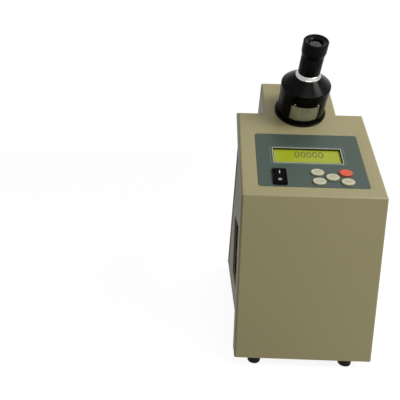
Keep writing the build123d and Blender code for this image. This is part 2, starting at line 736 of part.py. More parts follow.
def nipple(x, z):
    """A barbed hose nipple on the rear end of a jacket."""
    points = [
        (1.4, -5.5),
        (NIPPLE_R, -5.5),
        (NIPPLE_R, 0),
        (4.4, 0),
        (4.4, 3),
        (2.4, 3),
        (3.2, 6),
        (2.4, 9),
        (3.2, 12),
        (2.2, 16),
        (1.4, 16),
    ]
    frame = Plane(origin=(x, PRISM_Y1, z), x_dir=(1, 0, 0), z_dir=(0, 1, 0))
    return frame * turned(points)


nodes["lower_hose_nipples"] = group([nipple(x, z) for x, z in NIPPLES_LOW])
nodes["upper_hose_nipples"] = group([nipple(x, z) for x, z in NIPPLES_UP])
sensor = turned([(0, -5.5), (2.5, -5.5), (2.5, 0), (3.8, 0), (3.8, 8), (2.6, 12), (0, 12)])
nodes["temperature_sensor"] = (
    Plane(origin=(SENSOR_X, PRISM_Y1, SENSOR_Z), x_dir=(1, 0, 0), z_dir=(0, 1, 0)) * sensor
)

# Swinging lamp in front of the prisms, from the upper window down to the lower one
LAMP_X, LAMP_Z = 30.0, SPLIT_Z + 8
ARM_X, ARM_Z = 50.0, (LAMP_Z + BEAM_Z) / 2
lamp_plane = Plane(origin=(LAMP_X, 0, LAMP_Z), x_dir=(1, 0, 0), z_dir=(0, 1, 0))
arm_plane = Plane(origin=(ARM_X, 0, ARM_Z), x_dir=(1, 0, 0), z_dir=(0, 1, 0))
nodes["lamp_barrel"] = lamp_plane * (
    tube(7.0, 5.5, 72, 94) + rod(7.0, 70, 73) + tube(7.6, 6.9, 76, 80)
)
nodes["lamp_lens"] = lamp_plane * turned(
    [(0, 89), (5.5, 90), (5.5, 92), (3.5, 92.8), (0, 93.2)]
)
led = lamp_plane * (rod(2.5, 73, 76) + rod(1.8, 76, 78.5))
nodes["lamp_led"] = led
arm_len = math.hypot(LAMP_X - ARM_X, LAMP_Z - ARM_Z)
arm_deg = math.degrees(math.atan2(LAMP_Z - ARM_Z, LAMP_X - ARM_X))
arm = arm_plane * (tube(6.0, 2.5 + RUN, 81, 88))
link = Pos(ARM_X, 84.5, ARM_Z) * Rot(0, -arm_deg, 0) * Pos(arm_len / 2, 0, 0) * Box(
    arm_len - 8, 6.0, 6.0
)
collar = lamp_plane * tube(9.0, 7.0, 81, 88)
nodes["lamp_arm"] = (
    arm + link + collar - lamp_plane * rod(7.0, 60, 100) - arm_plane * rod(2.5 + RUN, 60, 100)
)
post = block(44, 58, 72, 79.6, REC_Z0, 64) + arm_plane * rod(6.0, 72, 79.6)
post = post + arm_plane * rod(2.5, 79, 91)
nodes["lamp_post"] = post
nodes["lamp_arm_nut"] = arm_plane * (
    Pos(0, 0, 88.4) * extrude(RegularPolygon(4.5, 6), amount=3) - rod(2.5, 80, 95)
)

# Fold mirror that sends the light from the prism back to the scanning mirror
fold_dir = Vector(-1, SCAN_Y - PRISM_MID_Y, SCAN_Z - BEAM_Z)
away = Vector(0, SCAN_Y - PRISM_MID_Y, SCAN_Z - BEAM_Z).normalized()
fold_normal = (away - Vector(1, 0, 0)).normalized()
fold_plane = Plane(
    origin=(MID, PRISM_MID_Y, BEAM_Z), x_dir=(0, -away.Z, away.Y), z_dir=tuple(fold_normal)
)
nodes["fold_mirror"] = fold_plane * rod(7.0, -2.0, 0)
fold_mount = fold_plane * (rod(7.0, -10, -2.0))
fold_post = block(MID + 8, MID + 18, PRISM_MID_Y - 14, PRISM_MID_Y + 2, 3, BEAM_Z - 6)
fold_post = fold_post + block(MID + 4, MID + 22, PRISM_MID_Y - 20, PRISM_MID_Y + 8, 3, 7)
fold_cup = fold_plane * (tube(8.6, 7.0, -10, 0) + rod(8.6, -13, -10))
fold_web = block(
    MID + 4, MID + 16, PRISM_MID_Y - 12, PRISM_MID_Y - 2, BEAM_Z - 14, BEAM_Z - 2
)
nodes["fold_mirror_mount"] = (
    fold_cup + fold_post + fold_web + fold_mount - fold_plane * rod(7.0, -2.0, 20)
)

# Mechanism bracket: two uprights that carry the mirror shaft and the drive
BRACKET_Y0 = SCAN_Y - 40.6
BRACKET_Y1 = SCAN_Y + 27.4
up_side = [
    (BRACKET_Y0, 3),
    (BRACKET_Y1, 3),
    (BRACKET_Y1, SCAN_Z - 60),
    (SCAN_Y + 12.4, SCAN_Z - 12),
    (SCAN_Y + 9.4, SCAN_Z + 8),
    (SCAN_Y - 12.6, SCAN_Z + 12),
    (BRACKET_Y0, SCAN_Z - 14),
]


UP_L = (MID - 22.0, MID - 18.0)
UP_R = (MID + 30.0, MID + 35.0)
bracket = prism(up_side, *UP_L) + prism(up_side, *UP_R)
bracket = bracket + block(UP_L[0], UP_R[1], BRACKET_Y0, BRACKET_Y1, 3, 7)
bracket = bracket - cross_frame(UP_L[0] - 4, SCAN_Y, SCAN_Z) * rod(SHAFT_R + RUN, 0, 70)
bracket = bracket - cross_frame(UP_R[0] - 6, KNOB_Y, KNOB_Z) * rod(WHEEL_SHAFT_R + RUN, 0, 20)
for x0, x1 in (UP_L, UP_R):
    bracket = bracket - block(
        x0 - 2, x1 + 2, BRACKET_Y0 + 12, BRACKET_Y1 - 10, 20, SCAN_Z - 50
    )
BRACKET_SCREWS = [
    (x, y) for x in (MID - 8, MID + 20) for y in (BRACKET_Y0 + 8, BRACKET_Y1 - 6)
]
for x, y in BRACKET_SCREWS:
    bracket = bracket - Pos(x, y, 0) * Cylinder(1.6, 10, align=LOW)
nodes["mechanism_bracket"] = bracket
nodes["bracket_screws"] = group(
    [Pos(x, y, 7) * screw(2.8, 1.8, 1.5, 4.0) for x, y in BRACKET_SCREWS]
)

# Mirror shaft with the mirror, its carrier, the sector wheel and the encoder disc
MIRROR_SHAFT_X = (MID - 32.0, MID + 45.0)
scan = cross_frame(0, SCAN_Y, SCAN_Z)
nodes["mirror_shaft"] = scan * rod(SHAFT_R, *MIRROR_SHAFT_X)
back_to_eye = Vector(0, -SIN, COS)
scan_normal = (back_to_eye - away).normalized()
mirror_plane = Plane(
    origin=(MID, SCAN_Y, SCAN_Z), x_dir=(1, 0, 0), z_dir=tuple(scan_normal)
)
carrier = mirror_plane * Pos(0, 0, 0.25) * Box(26, 16, 9.5)
carrier = carrier - scan * rod(SHAFT_R, *MIRROR_SHAFT_X)
nodes["mirror_carrier"] = carrier
nodes["scanning_mirror"] = mirror_plane * Pos(0, 0, 6.25) * Box(26, 20, 2.5)
first = math.radians(180 + KNOB_DEG)
KEPT_TEETH = 13
start = first - 2 * math.pi / SECTOR_TEETH * (KEPT_TEETH - 1) / 2
points = gear_face(SECTOR_R, SECTOR_TEETH, 1.35, 1.05, 1.4, start, KEPT_TEETH)
sector_points = points + [
    (8 * math.cos(first + 1.9), 8 * math.sin(first + 1.9)),
    (8 * math.cos(first + math.pi), 8 * math.sin(first + math.pi)),
    (8 * math.cos(first - 1.9), 8 * math.sin(first - 1.9)),
]
sector = extrude(make_face(Polyline(*sector_points, close=True)), amount=4.0)
sector = sector - rod(SHAFT_R, -1, 6)
nodes["sector_wheel"] = cross_frame(MID + 38, SCAN_Y, SCAN_Z) * sector
disc = tube(17.5, SHAFT_R, 0, 1.2) + tube(6.0, SHAFT_R, 1.2, 6.0)
nodes["encoder_disc"] = cross_frame(MID - 30, SCAN_Y, SCAN_Z) * disc
reader = block(
    MID - 35.5, UP_L[0], SCAN_Y - 28.6, SCAN_Y - 12.6, SCAN_Z - 28, SCAN_Z - 2
)
reader = reader - block(
    MID - 31, MID - 27, SCAN_Y - 26.6, SCAN_Y - 4.6, SCAN_Z - 40, SCAN_Z + 10
)
nodes["encoder_reader"] = reader

# Handwheel on the right side with its shaft, bush and pinion
knob_axis = cross_frame(0, KNOB_Y, KNOB_Z)
OUT_X = BODY_W - SIDE_INSET
shaft = rod(WHEEL_SHAFT_R, UP_R[0] - 1.5, OUT_X + 18)
nodes["handwheel_shaft"] = knob_axis * shaft
pinion_first = math.radians(KNOB_DEG) + math.pi / PINION_TEETH
points = gear_face(PINION_R, PINION_TEETH, 1.35, 1.05, 1.4, pinion_first)
pinion = extrude(make_face(Polyline(*points, close=True)), amount=5.0)
pinion = pinion - rod(WHEEL_SHAFT_R, -1, 7)
nodes["pinion"] = cross_frame(MID + 37.5, KNOB_Y, KNOB_Z) * pinion
bush = tube(7.0, WHEEL_SHAFT_R + RUN, OUT_X - WALL, OUT_X) + tube(
    11.0, WHEEL_SHAFT_R + RUN, OUT_X - WALL - 3, OUT_X - WALL
)
nodes["handwheel_bush"] = knob_axis * bush
WHEEL_OUT = 22.5
rim = extrude(star(HANDWHEEL_R, HANDWHEEL_R - 0.9, 60), amount=13.0)
wheel = Pos(0, 0, OUT_X + 4.5) * rim
wheel = wheel + turned(
    [
        (0, OUT_X + 1.0),
        (10.5, OUT_X + 1.0),
        (10.5, OUT_X + 4.5),
        (23.4, OUT_X + 4.5),
        (23.4, OUT_X + 19.0),
        (21.5, OUT_X + 20.5),
        (14.0, OUT_X + 20.5),
        (13.0, OUT_X + WHEEL_OUT),
        (0, OUT_X + WHEEL_OUT),
    ]
)
wheel = wheel - rod(WHEEL_SHAFT_R, OUT_X, OUT_X + 18)
nodes["handwheel"] = knob_axis * wheel

# Eyepiece and compensator, all turned about the eyepiece axis
eye = slope_frame(MID, EYE_S)
base = turned(
    [
        (HUB_R + BEARING_CLEAR, -3.0),
        (19.0, -3.0),
        (19.0, -35.0),
        (SPIGOT_R, -35.0),
        (SPIGOT_R, 0),
        (BASE_R, 0),
        (BASE_R, BASE_T - 0.5),
        (BASE_R - 0.5, BASE_T),
        (HUB_R + BEARING_CLEAR, BASE_T),
    ]
)
for a in (0, 180):
    base = base - Rot(0, 0, a) * Pos(0, 0, IDLER_H) * Rot(0, 90, 0) * rod(PIN_R, 15, 24)
for a in (45, 135, 225, 315):
    base = base - Rot(0, 0, a) * Pos(25.5, 0, 0) * rod(1.6, -1, 4)
    base = base - Rot(0, 0, a) * Pos(25.5, 0, 0) * rod(2.3, 1.2, 4)
for a in (45, 165, 285):
    base = base - Rot(0, 0, a) * Pos(20.3, 0, 0) * rod(0.7, -36, -28)
nodes["eyepiece_base"] = eye * base
nodes["eyepiece_base_screws"] = group(
    [
        eye * Rot(0, 0, a) * Pos(25.5, 0, 1.2) * screw(2.2, 1.2, 1.2, 6)
        for a in (45, 135, 225, 315)
    ]
)
sleeve = tube(SLEEVE_R, SLEEVE_IN, BASE_T, SLEEVE_TOP)
half = math.radians(WINDOW_DEG / 2)
window_points = [
    (0, 0),
    (40 * math.sin(-half), -40 * math.cos(half)),
    (0, -60),
    (40 * math.sin(half), -40 * math.cos(half)),
]
window_cut = extrude(make_face(Polyline(*window_points, close=True)), amount=WINDOW_HIGH - WINDOW_LOW)
sleeve = sleeve - Pos(0, 0, WINDOW_LOW) * window_cut
SET_ANGLES = (-118.0, -62.0, 90.0)
for a in SET_ANGLES:
    sleeve = sleeve - Rot(0, 0, a) * Pos(0, 0, 27.9) * Rot(0, 90, 0) * rod(1.1, 20, 40)
nodes["eyepiece_sleeve"] = eye * sleeve
nodes["set_screws"] = group(
    [
        eye
        * Rot(0, 0, a)
        * Pos(SLEEVE_IN, 0, 27.9)
        * Rot(0, 90, 0)
        * (rod(1.1, 0, 1.3) - Pos(0, 0, 1.6) * Box(0.5, 3, 2))
        for a in SET_ANGLES
    ]
)
cap = turned(
    [
        (TUBE_R, 44.0),
        (18.0, 40.5),
        (22.5, 35.5),
        (25.0, 31.5),
        (25.0, 27.0),
        (SLEEVE_IN, 27.0),
        (SLEEVE_IN, SLEEVE_TOP),
        (CAP_RIM_R, SLEEVE_TOP),
        (CAP_RIM_R, 30.9),
        (CAP_RIM_R - 0.8, 31.3),
        (CAP_RIM_R - 0.3, 31.8),
        (CAP_RIM_R - 0.6, 33.0),
        (27.3, 36.2),
        (24.6, 39.6),
        (21.2, 42.9),
        (17.8, 45.6),
        (15.2, 48.0),
        (14.0, CAP_TOP),
        (TUBE_R, CAP_TOP),
    ]
)
nodes["eyepiece_cone"] = eye * cap
nodes["eyepiece_ring"] = eye * turned(
    [
        (TUBE_R, CAP_TOP),
        (RING_R - 0.3, CAP_TOP),
        (RING_R, CAP_TOP + 0.3),
        (RING_R, CAP_TOP + 2.3),
        (RING_R - 0.3, CAP_TOP + 2.6),
        (TUBE_R, CAP_TOP + 2.6),
    ]
)
nodes["eyepiece_tube"] = eye * tube(TUBE_R, TUBE_IN, 36.0, TUBE_TOP)
dioptre = turned(
    [
        (8.2, 68.0),
        (TUBE_IN - 0.08, 68.0),
        (TUBE_IN - 0.08, TUBE_TOP + 0.4),
        (DIOPTRE_R, TUBE_TOP + 0.4),
        (DIOPTRE_R, DIOPTRE_TOP - 1.4),
        (DIOPTRE_R - 1.4, DIOPTRE_TOP),
        (9.0, DIOPTRE_TOP),
        (7.4, DIOPTRE_TOP - 3.6),
        (7.4, 86.0),
        (8.2, 86.0),
    ]
)
nodes["dioptre_cap"] = eye * dioptre
nodes["eye_lens"] = eye * turned([(0, 82.0), (8.2, 83.2), (8.2, 86.0), (7.4, 86.0), (4, 87.2), (0, 87.6)])
nodes["field_lens"] = eye * turned([(0, 70.0), (8.2, 71.0), (8.2, 73.5), (4.5, 74.6), (0, 75.0)])
nodes["reticle"] = eye * rod(TUBE_IN, 58.0, 59.5)
knurl = extrude(star(WHEEL_R, WHEEL_R - 0.55, 72), amount=20.0)
drum = Pos(0, 0, 5.2) * knurl - rod(24.0, 8.0, 30)
drum = drum + tube(HUB_R, GLASS_R, -6.8, 20.0) - rod(GLASS_R, -8, 30)
drum = drum - Rot(0, 0, -84) * Pos(0, 0, 17.5) * Rot(0, 90, 0) * rod(2.25, 24.2, 30)
nodes["dispersion_wheel"] = eye * drum
nodes["upper_dispersion_prism"] = eye * rod(GLASS_R, -4.0, 16.0)


def crown(direction):
    """A crown gear about the axis, teeth standing along the given direction."""
    pitch = IDLER_R
    plate_low = pitch + TOOTH_DOWN
    plate = tube(17.3, HUB_R, plate_low, plate_low + 1.6)
    outlines = [
        (-TOOTH_T * 0.72, plate_low + 0.1),
        (-TOOTH_T * 0.30, pitch - TOOTH_UP),
        (TOOTH_T * 0.30, pitch - TOOTH_UP),
        (TOOTH_T * 0.72, plate_low + 0.1),
    ]
    face = make_face(Polyline(*[(12.6, y, z) for y, z in outlines], close=True))
    tooth = extrude(face, amount=4.2, dir=(1, 0, 0))
    gear = plate
    teeth = [Rot(0, 0, 360 / CROWN_TEETH * (i + 0.5)) * tooth for i in range(CROWN_TEETH)]
    gear = gear + teeth
    if direction < 0:
        gear = Rot(180, 0, 0) * gear
    return gear


nodes["upper_crown_gear"] = eye * Pos(0, 0, IDLER_H) * crown(1)
lower_cell = Pos(0, 0, IDLER_H) * crown(-1)
lower_cell = lower_cell + tube(HUB_R, GLASS_R, -33.0, IDLER_H - IDLER_R - TOOTH_DOWN + 0.0)
nodes["lower_prism_cell"] = eye * lower_cell
nodes["lower_dispersion_prism"] = eye * rod(GLASS_R, -32.0, -19.5)
nodes["cell_bearing"] = eye * tube(19.0, HUB_R + BEARING_CLEAR, -28.0, -21.5)
points = gear_face(IDLER_R, IDLER_TEETH, TOOTH_T, TOOTH_UP, TOOTH_DOWN, 0.0)
idler = extrude(make_face(Polyline(*points, close=True)), amount=IDLER_FACE)
idler = idler + tube(2.2, PIN_R, IDLER_FACE - 0.1, IDLER_FACE + 2.2)
idler = idler - rod(PIN_R + RUN, -1, 8)
for name, a in (("idler_right", 0), ("idler_left", 180)):
    place_idler = Rot(0, 0, a) * Pos(0, 0, IDLER_H) * Rot(0, 90, 0) * Pos(0, 0, 13.2)
    nodes[name] = eye * place_idler * idler
nodes["idler_pins"] = group(
    [
        eye * Rot(0, 0, a) * Pos(0, 0, IDLER_H) * Rot(0, 90, 0)
        * (rod(PIN_R, 13.0, SPIGOT_R) + rod(1.8, 12.2, 13.0))
        for a in (0, 180)
    ]
)
TELE_END = -150.0
nodes["telescope_tube"] = eye * (
    tube(SPIGOT_R, TUBE_IN, -38.0, -35.0) + tube(TUBE_R, TUBE_IN, TELE_END, -38.0)
)
nodes["objective_lens"] = eye * turned(
    [(0, -146), (TUBE_IN, -145), (TUBE_IN, -141), (6, -139.6), (0, -139.0)]
)

# Electronics on the base plate and the right wall
SUPPLY_X = BODY_W - 22.0
supply = block(SUPPLY_X - 38, SUPPLY_X - 4, 38, 94, 7, 42)
supply = supply + block(SUPPLY_X - 42, SUPPLY_X, 34, 98, 3, 7)
nodes["power_supply"] = supply
SPACER_L = 11.4
BOARD_X = BODY_W - SIDE_INSET - WALL - SPACER_L
main_board = block(BOARD_X - 1.6, BOARD_X, 40, 172, 62, 168)
BOARD_POSTS = [(y, z) for y in (48.0, 164.0) for z in (70.0, 160.0)]
for y, z in BOARD_POSTS:
    main_board = main_board - cross_frame(BOARD_X - 10, y, z) * rod(1.6, 0, 20)
nodes["main_board"] = main_board
nodes["board_spacers"] = group(
    [
        cross_frame(BOARD_X, y, z) * tube(3.5, 1.6, 0, SPACER_L)
        for y, z in BOARD_POSTS
    ]
)
chips = []
for y, z, w, l in ((80, 100, 16, 16), (120, 110, 20, 8), (80, 135, 10, 24), (130, 140, 14, 14)):
    chips.append(
        block(BOARD_X - 4.1, BOARD_X - 1.6, y - w / 2, y + w / 2, z - l / 2, z + l / 2)
    )
nodes["board_chips"] = group(chips)


def inlet():
    """A mains inlet: flange, socket well and three blades."""
    body = Pos(0, 0, -24) * slab(27, 20, 24, 3) + slab(50, 23, 2.5, 4)
    well = Pos(0, 0, -17) * slab(24, 16.5, 25, 2.5)
    body = body - well
    for x, y in ((-7, 2), (7, 2), (0, -2.5)):
        body = body + Pos(x, y, -10) * Box(2, 4, 16)
    for x in (-20, 20):
        body = body - Pos(x, 0, 0) * rod(1.6, -6, 6)
    return body


nodes["mains_inlet"] = back_frame(INLET_X, INLET_B) * inlet()
nodes["inlet_screws"] = group(
    [
        back_frame(INLET_X + dx, INLET_B, 2.5) * screw(2.8, 1.8, 1.5, 7)
        for dx in (-20, 20)
    ]
)
nodes["fuse_holder"] = back_frame(INLET_X, FUSE_B) * (
    rod(6.0, -18, 0) + rod(8.0, 0, 3) + rod(6.4, 3, 8) - Pos(0, 0, 7.5) * Box(9, 1.4, 2)
)


def serial_port():
    """A nine-way serial plug with its shell and pins."""
    flange = Pos(0, 0, 0) * slab(31, 12.5, 1.2, 1.5)
    body = Pos(0, 0, -9) * slab(18.6, 9.6, 9, 1)
    outer = Pos(0, 0, 1) * slab(17.0, 8.4, 5.5, 2.2)
    inner = Pos(0, 0, 1.2) * slab(15.8, 7.2, 8, 1.8)
    port = flange + body + outer - inner
    for i in range(5):
        port = port + Pos(-5.5 + 2.75 * i, 1.4, 1.0) * Cylinder(0.5, 4.6, align=LOW)
    for i in range(4):
        port = port + Pos(-4.1 + 2.75 * i, -1.4, 1.0) * Cylinder(0.5, 4.6, align=LOW)
    for x in (-12.5, 12.5):
        port = port - Pos(x, 0, 0) * rod(1.6, -4, 6)
    return port


nodes["serial_port"] = back_frame(SERIAL_X, SERIAL_B) * serial_port()
nodes["serial_screws"] = group(
    [
        back_frame(SERIAL_X + dx, SERIAL_B, 1.2) * screw(2.4, 3.0, 1.5, 6)
        for dx in (-12.5, 12.5)
    ]
)

# Pieces that are the same fastener, or are fixed together in one sub-assembly
joined = {
    "rubber_feet": list(foot_places),
    "case_screws": [
        "base_screws",
        "rear_cover_screws",
        "foot_screws",
        "foot_nuts",
        "eyepiece_base_screws",
        "set_screws",
        "inlet_screws",
        "serial_screws",
    ],
    "inner_screws": [
        "display_screws",
        "keypad_screws",
        "bracket_screws",
        "liner_screws",
        "pedestal_screws",
    ],
    "main_board": ["main_board", "board_chips", "board_spacers"],
    "keypad_board": ["keypad_board", "key_switches"],
    "lamp_barrel": ["lamp_barrel", "lamp_led"],
    "lamp_post": ["lamp_post", "lamp_arm_nut"],
    "eyepiece_base": ["eyepiece_base", "cell_bearing", "idler_pins"],
    "eye_lenses": ["eye_lens", "field_lens"],
    "dispersion_wheel": ["dispersion_wheel", "upper_crown_gear"],
    "mirror_shaft": ["mirror_shaft", "mirror_carrier"],
    "handwheel_shaft": ["handwheel_shaft", "pinion"],
    "objective_and_reticle": ["objective_lens", "reticle"],
    "lower_prism_jacket": ["lower_prism_jacket", "hinge_pin"],
    "lower_jacket_fittings": ["lower_hose_nipples", "temperature_sensor"],
    "encoder_reader": ["encoder_reader"],
    "liner_bracket": ["liner_bracket", "prism_pedestal"],
    "mains_inlet": ["mains_inlet", "fuse_holder"],
}
for name, members in joined.items():
    nodes[name] = group([nodes.pop(member) for member in members])

# The origin lies under the middle of the overall box, level with the feet's faces
place = Pos(-(OUT_X + WHEEL_OUT) / 2, -BODY_D / 2, FOOT_H)
for name, shape in nodes.items():
    moved = place * shape
    solids = moved.solids()
    if len(solids) > 1:
        moved = Compound(solids)
    else:
        moved = solids[0]
    export_step(moved, "parts/" + name + ".step")
print(len(nodes), "nodes")
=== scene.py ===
# %% [markdown]
# A bench refractometer is mostly one beige moulding, a black eyepiece and a small
# sloping panel. The solid model already has every wall, shaft and screw at its
# real size, so this file dresses it: finishes, rounded glossy turnings, knurls,
# panel marks, and then the camera and the light of a small product photograph.

# %% Load the frame
import bpy
import bmesh
import json
import math
from mathutils import Matrix, Vector
from mathutils.bvhtree import BVHTree


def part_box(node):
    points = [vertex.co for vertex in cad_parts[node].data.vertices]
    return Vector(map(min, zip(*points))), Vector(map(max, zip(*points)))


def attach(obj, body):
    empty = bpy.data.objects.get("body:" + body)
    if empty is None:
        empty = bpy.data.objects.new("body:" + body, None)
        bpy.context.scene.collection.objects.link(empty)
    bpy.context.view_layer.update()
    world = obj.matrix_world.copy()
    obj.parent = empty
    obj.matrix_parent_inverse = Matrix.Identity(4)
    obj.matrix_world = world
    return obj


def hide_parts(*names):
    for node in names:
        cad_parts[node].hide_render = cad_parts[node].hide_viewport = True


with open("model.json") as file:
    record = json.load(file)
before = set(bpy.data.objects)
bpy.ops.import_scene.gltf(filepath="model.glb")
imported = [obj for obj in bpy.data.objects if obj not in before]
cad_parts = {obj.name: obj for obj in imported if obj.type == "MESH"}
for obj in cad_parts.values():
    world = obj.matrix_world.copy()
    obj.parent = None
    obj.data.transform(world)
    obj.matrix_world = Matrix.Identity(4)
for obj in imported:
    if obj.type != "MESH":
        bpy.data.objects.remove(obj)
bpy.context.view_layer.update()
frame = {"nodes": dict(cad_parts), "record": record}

# %% [markdown]
# Places below are metres, and turned sections and panel marks are millimetres. The
# case has its own plain directions: x to the right, y back and z up, counted from
# the lower left corner of the front. One function moves such a point into the
# shared frame, and one builds the tilted frame of the slope, where most of the
# visible detail sits.

# %% Directions of the case
CORNER = Vector(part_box("housing")[0])
HALF_W = 0.076
FRONT_H = 0.1842
SLOPE = math.radians(40)
EYE_S = 0.1385


def case_point(x, y, z):
    return CORNER + Vector((x, y, z))


def slope_matrix(x, s, h=0.0):
    """Local x to the right, y up the slope and z out of it."""
    y = s * math.cos(SLOPE) - h * math.sin(SLOPE)
    z = FRONT_H + s * math.sin(SLOPE) + h * math.cos(SLOPE)
    turn = Matrix.Rotation(SLOPE, 4, "X")
    return Matrix.Translation(case_point(x, y, z)) @ turn


EYE = slope_matrix(HALF_W, EYE_S)
print("eyepiece base at", [round(c, 4) for c in EYE.translation])

# %% [markdown]
# The camera comes first, because every later choice is judged through it. The
# photograph looks slightly down on the case from its left, a little rolled. The
# three angles are written out, and the lens is the focal length in millimetres
# for a 36 mm wide sensor.

# %% Camera
CAMERA_AT = (-0.03576, -0.4236, 0.25778)
LENS = 37.41
SENSOR = 36
NEAREST = 0.01
PITCH = math.radians(10.776)
ROLL = math.radians(1.541)
YAW = math.radians(-0.956)

looking_back = Matrix(((1, 0, 0), (0, 0, -1), (0, 1, 0)))
right, down, forward = (
    Matrix.Rotation(ROLL, 3, "Z")
    @ Matrix.Rotation(PITCH, 3, "X")
    @ looking_back
    @ Matrix.Rotation(YAW, 3, "Z")
)
camera_data = bpy.data.cameras.new("camera")
camera_data.lens = LENS
camera_data.sensor_width = SENSOR
camera_data.clip_start = NEAREST
camera = bpy.data.objects.new("camera", camera_data)
bpy.context.scene.collection.objects.link(camera)
columns = Matrix((right, -down, -forward)).transposed().to_4x4()
camera.matrix_world = Matrix.Translation(case_point(*CAMERA_AT)) @ columns
bpy.context.scene.camera = camera
print("camera looks along", [round(c, 3) for c in forward])

# %% [markdown]
# The light is that of a small studio: one broad lamp above on the right and a
# weaker one in front. Area lamps are used because their size softens the shadow
# edges, as a softbox does. Both aim at the case and are kept weak enough that a
# colour renders about as it is written.

# %% Lamps


def area_light(name, place, target, size, power):
    data = bpy.data.lights.new(name, "AREA")
    data.shape = "RECTANGLE"
    data.size, data.size_y = size
    data.energy = power
    lamp = bpy.data.objects.new(name, data)
    bpy.context.scene.collection.objects.link(lamp)
    aim = (Vector(target) - Vector(place)).to_track_quat("-Z", "Y")
    lamp.matrix_world = Matrix.Translation(place) @ aim.to_matrix().to_4x4()
    return lamp


area_light(
    "lamp_right", place=(0.75, -0.75, 1.15), target=(0, 0, 0.2), size=(0.5, 0.5), power=10.5
)
area_light(
    "lamp_front", place=(0.1, -1.5, 0.8), target=(0, 0, 0.18), size=(0.9, 0.6), power=3.6
)
print("lamps", len(bpy.data.lights))

# %% [markdown]
# The room, the floor and every finish need the same small sums on node sockets. One
# helper fills or links a socket, one makes a Math node and one a Map Range node.
# They take either a plain number or another node's output, so that the shader trees
# below read like formulas. The last one empties a tree before it is written.

# %% Node helpers


def put(tree, value, socket):
    """Gives a socket a number, or links another node's output to it."""
    if hasattr(value, "links"):
        tree.links.new(value, socket)
    else:
        socket.default_value = value


def combine(tree, kind, a, b):
    node = tree.nodes.new("ShaderNodeMath")
    node.operation = kind
    put(tree, a, node.inputs[0])
    put(tree, b, node.inputs[1])
    return node.outputs[0]


def spread(tree, value, low, high, from_low=0.3, from_high=0.7):
    """Stretches a value; noise lies mostly between the two default ends."""
    node = tree.nodes.new("ShaderNodeMapRange")
    tree.links.new(value, node.inputs["Value"])
    node.inputs["From Min"].default_value = from_low
    node.inputs["From Max"].default_value = from_high
    put(tree, low, node.inputs["To Min"])
    put(tree, high, node.inputs["To Max"])
    return node.outputs["Result"]


def cleared(owner):
    owner.use_nodes = True
    owner.node_tree.nodes.clear()
    return owner.node_tree


print("helpers ready")

# %% [markdown]
# The room is bright overhead and dim on the left, where the photograph's side wall
# is nearly black. That is the world's strength, worked out from the direction that
# a ray leaves in. The camera sees plain white instead, and so do rays through
# glass. Mirror rays see a share of that white, which keeps the bright lines on
# chrome and black paint without making them grey.

# %% Studio room
MIRRORED = 0.55
ROOM_LOW, ROOM_TOP = 0.17, 1.0
ROOM_LEFT, ROOM_RIGHT = 0.06, 1.0

world = bpy.data.worlds.new("studio room")
bpy.context.scene.world = world
tree = cleared(world)
way = tree.nodes.new("ShaderNodeTexCoord")
split = tree.nodes.new("ShaderNodeSeparateXYZ")
tree.links.new(way.outputs["Generated"], split.inputs[0])
by_height = spread(tree, split.outputs["Z"], ROOM_LOW, ROOM_TOP, -0.1, 1.0)
by_side = spread(tree, split.outputs["X"], ROOM_LEFT, ROOM_RIGHT, -0.9, 0.35)
room = tree.nodes.new("ShaderNodeBackground")
room.inputs["Color"].default_value = (1, 1, 1, 1)
put(tree, combine(tree, "MULTIPLY", by_height, by_side), room.inputs["Strength"])
white = tree.nodes.new("ShaderNodeBackground")
white.inputs["Color"].default_value = (1, 1, 1, 1)
white.inputs["Strength"].default_value = 1.0
rays = tree.nodes.new("ShaderNodeLightPath")
straight = combine(
    tree, "MAXIMUM", rays.outputs["Is Camera Ray"], rays.outputs["Is Transmission Ray"]
)
mirrored = combine(tree, "MULTIPLY", rays.outputs["Is Glossy Ray"], MIRRORED)
mix = tree.nodes.new("ShaderNodeMixShader")
put(tree, combine(tree, "MAXIMUM", straight, mirrored), mix.inputs[0])
tree.links.new(room.outputs[0], mix.inputs[1])
tree.links.new(white.outputs[0], mix.inputs[2])
out = tree.nodes.new("ShaderNodeOutputWorld")
tree.links.new(mix.outputs[0], out.inputs["Surface"])
print("room from", ROOM_LOW, "to", ROOM_TOP)

# %% [markdown]
# The floor is one large matt disc. A glow that only camera and mirror rays see lifts it to white in
# the picture, so its own colour can stay dark enough not to light the case from below. Its colour is
# darker on the left as painted shade, for the same reason as the room, and it keeps the shadow.

# %% Floor
FLOOR_R = 3.0
FADE_LEFT, FADE_RIGHT = -0.25, 0.1

floor_mesh = bpy.data.meshes.new("floor")
shape = bmesh.new()
bmesh.ops.create_circle(shape, cap_ends=True, segments=96, radius=FLOOR_R)
shape.to_mesh(floor_mesh)
shape.free()
floor = bpy.data.objects.new("floor", floor_mesh)
bpy.context.scene.collection.objects.link(floor)
floor_finish = bpy.data.materials.new("white floor")
tree = cleared(floor_finish)
where = tree.nodes.new("ShaderNodeTexCoord")
across = tree.nodes.new("ShaderNodeSeparateXYZ")
tree.links.new(where.outputs["Object"], across.inputs[0])
matt = tree.nodes.new("ShaderNodeBsdfDiffuse")
# Painted shade: the floor's colour runs from dark on the left to paler on the right, so it throws
# less light on the case's left side.
put(tree, spread(tree, across.outputs["X"], 0.05, 0.38, FADE_LEFT, FADE_RIGHT), matt.inputs["Color"])
rays = tree.nodes.new("ShaderNodeLightPath")
mirrored = combine(tree, "MULTIPLY", rays.outputs["Is Glossy Ray"], MIRRORED)
shown = combine(tree, "MAXIMUM", rays.outputs["Is Camera Ray"], mirrored)
lift = spread(tree, across.outputs["X"], 0.96, 0.86, FADE_LEFT, FADE_RIGHT)
glow = tree.nodes.new("ShaderNodeEmission")
glow.inputs["Color"].default_value = (1, 1, 1, 1)
put(tree, combine(tree, "MULTIPLY", shown, lift), glow.inputs["Strength"])
both = tree.nodes.new("ShaderNodeAddShader")
tree.links.new(matt.outputs[0], both.inputs[0])
tree.links.new(glow.outputs[0], both.inputs[1])
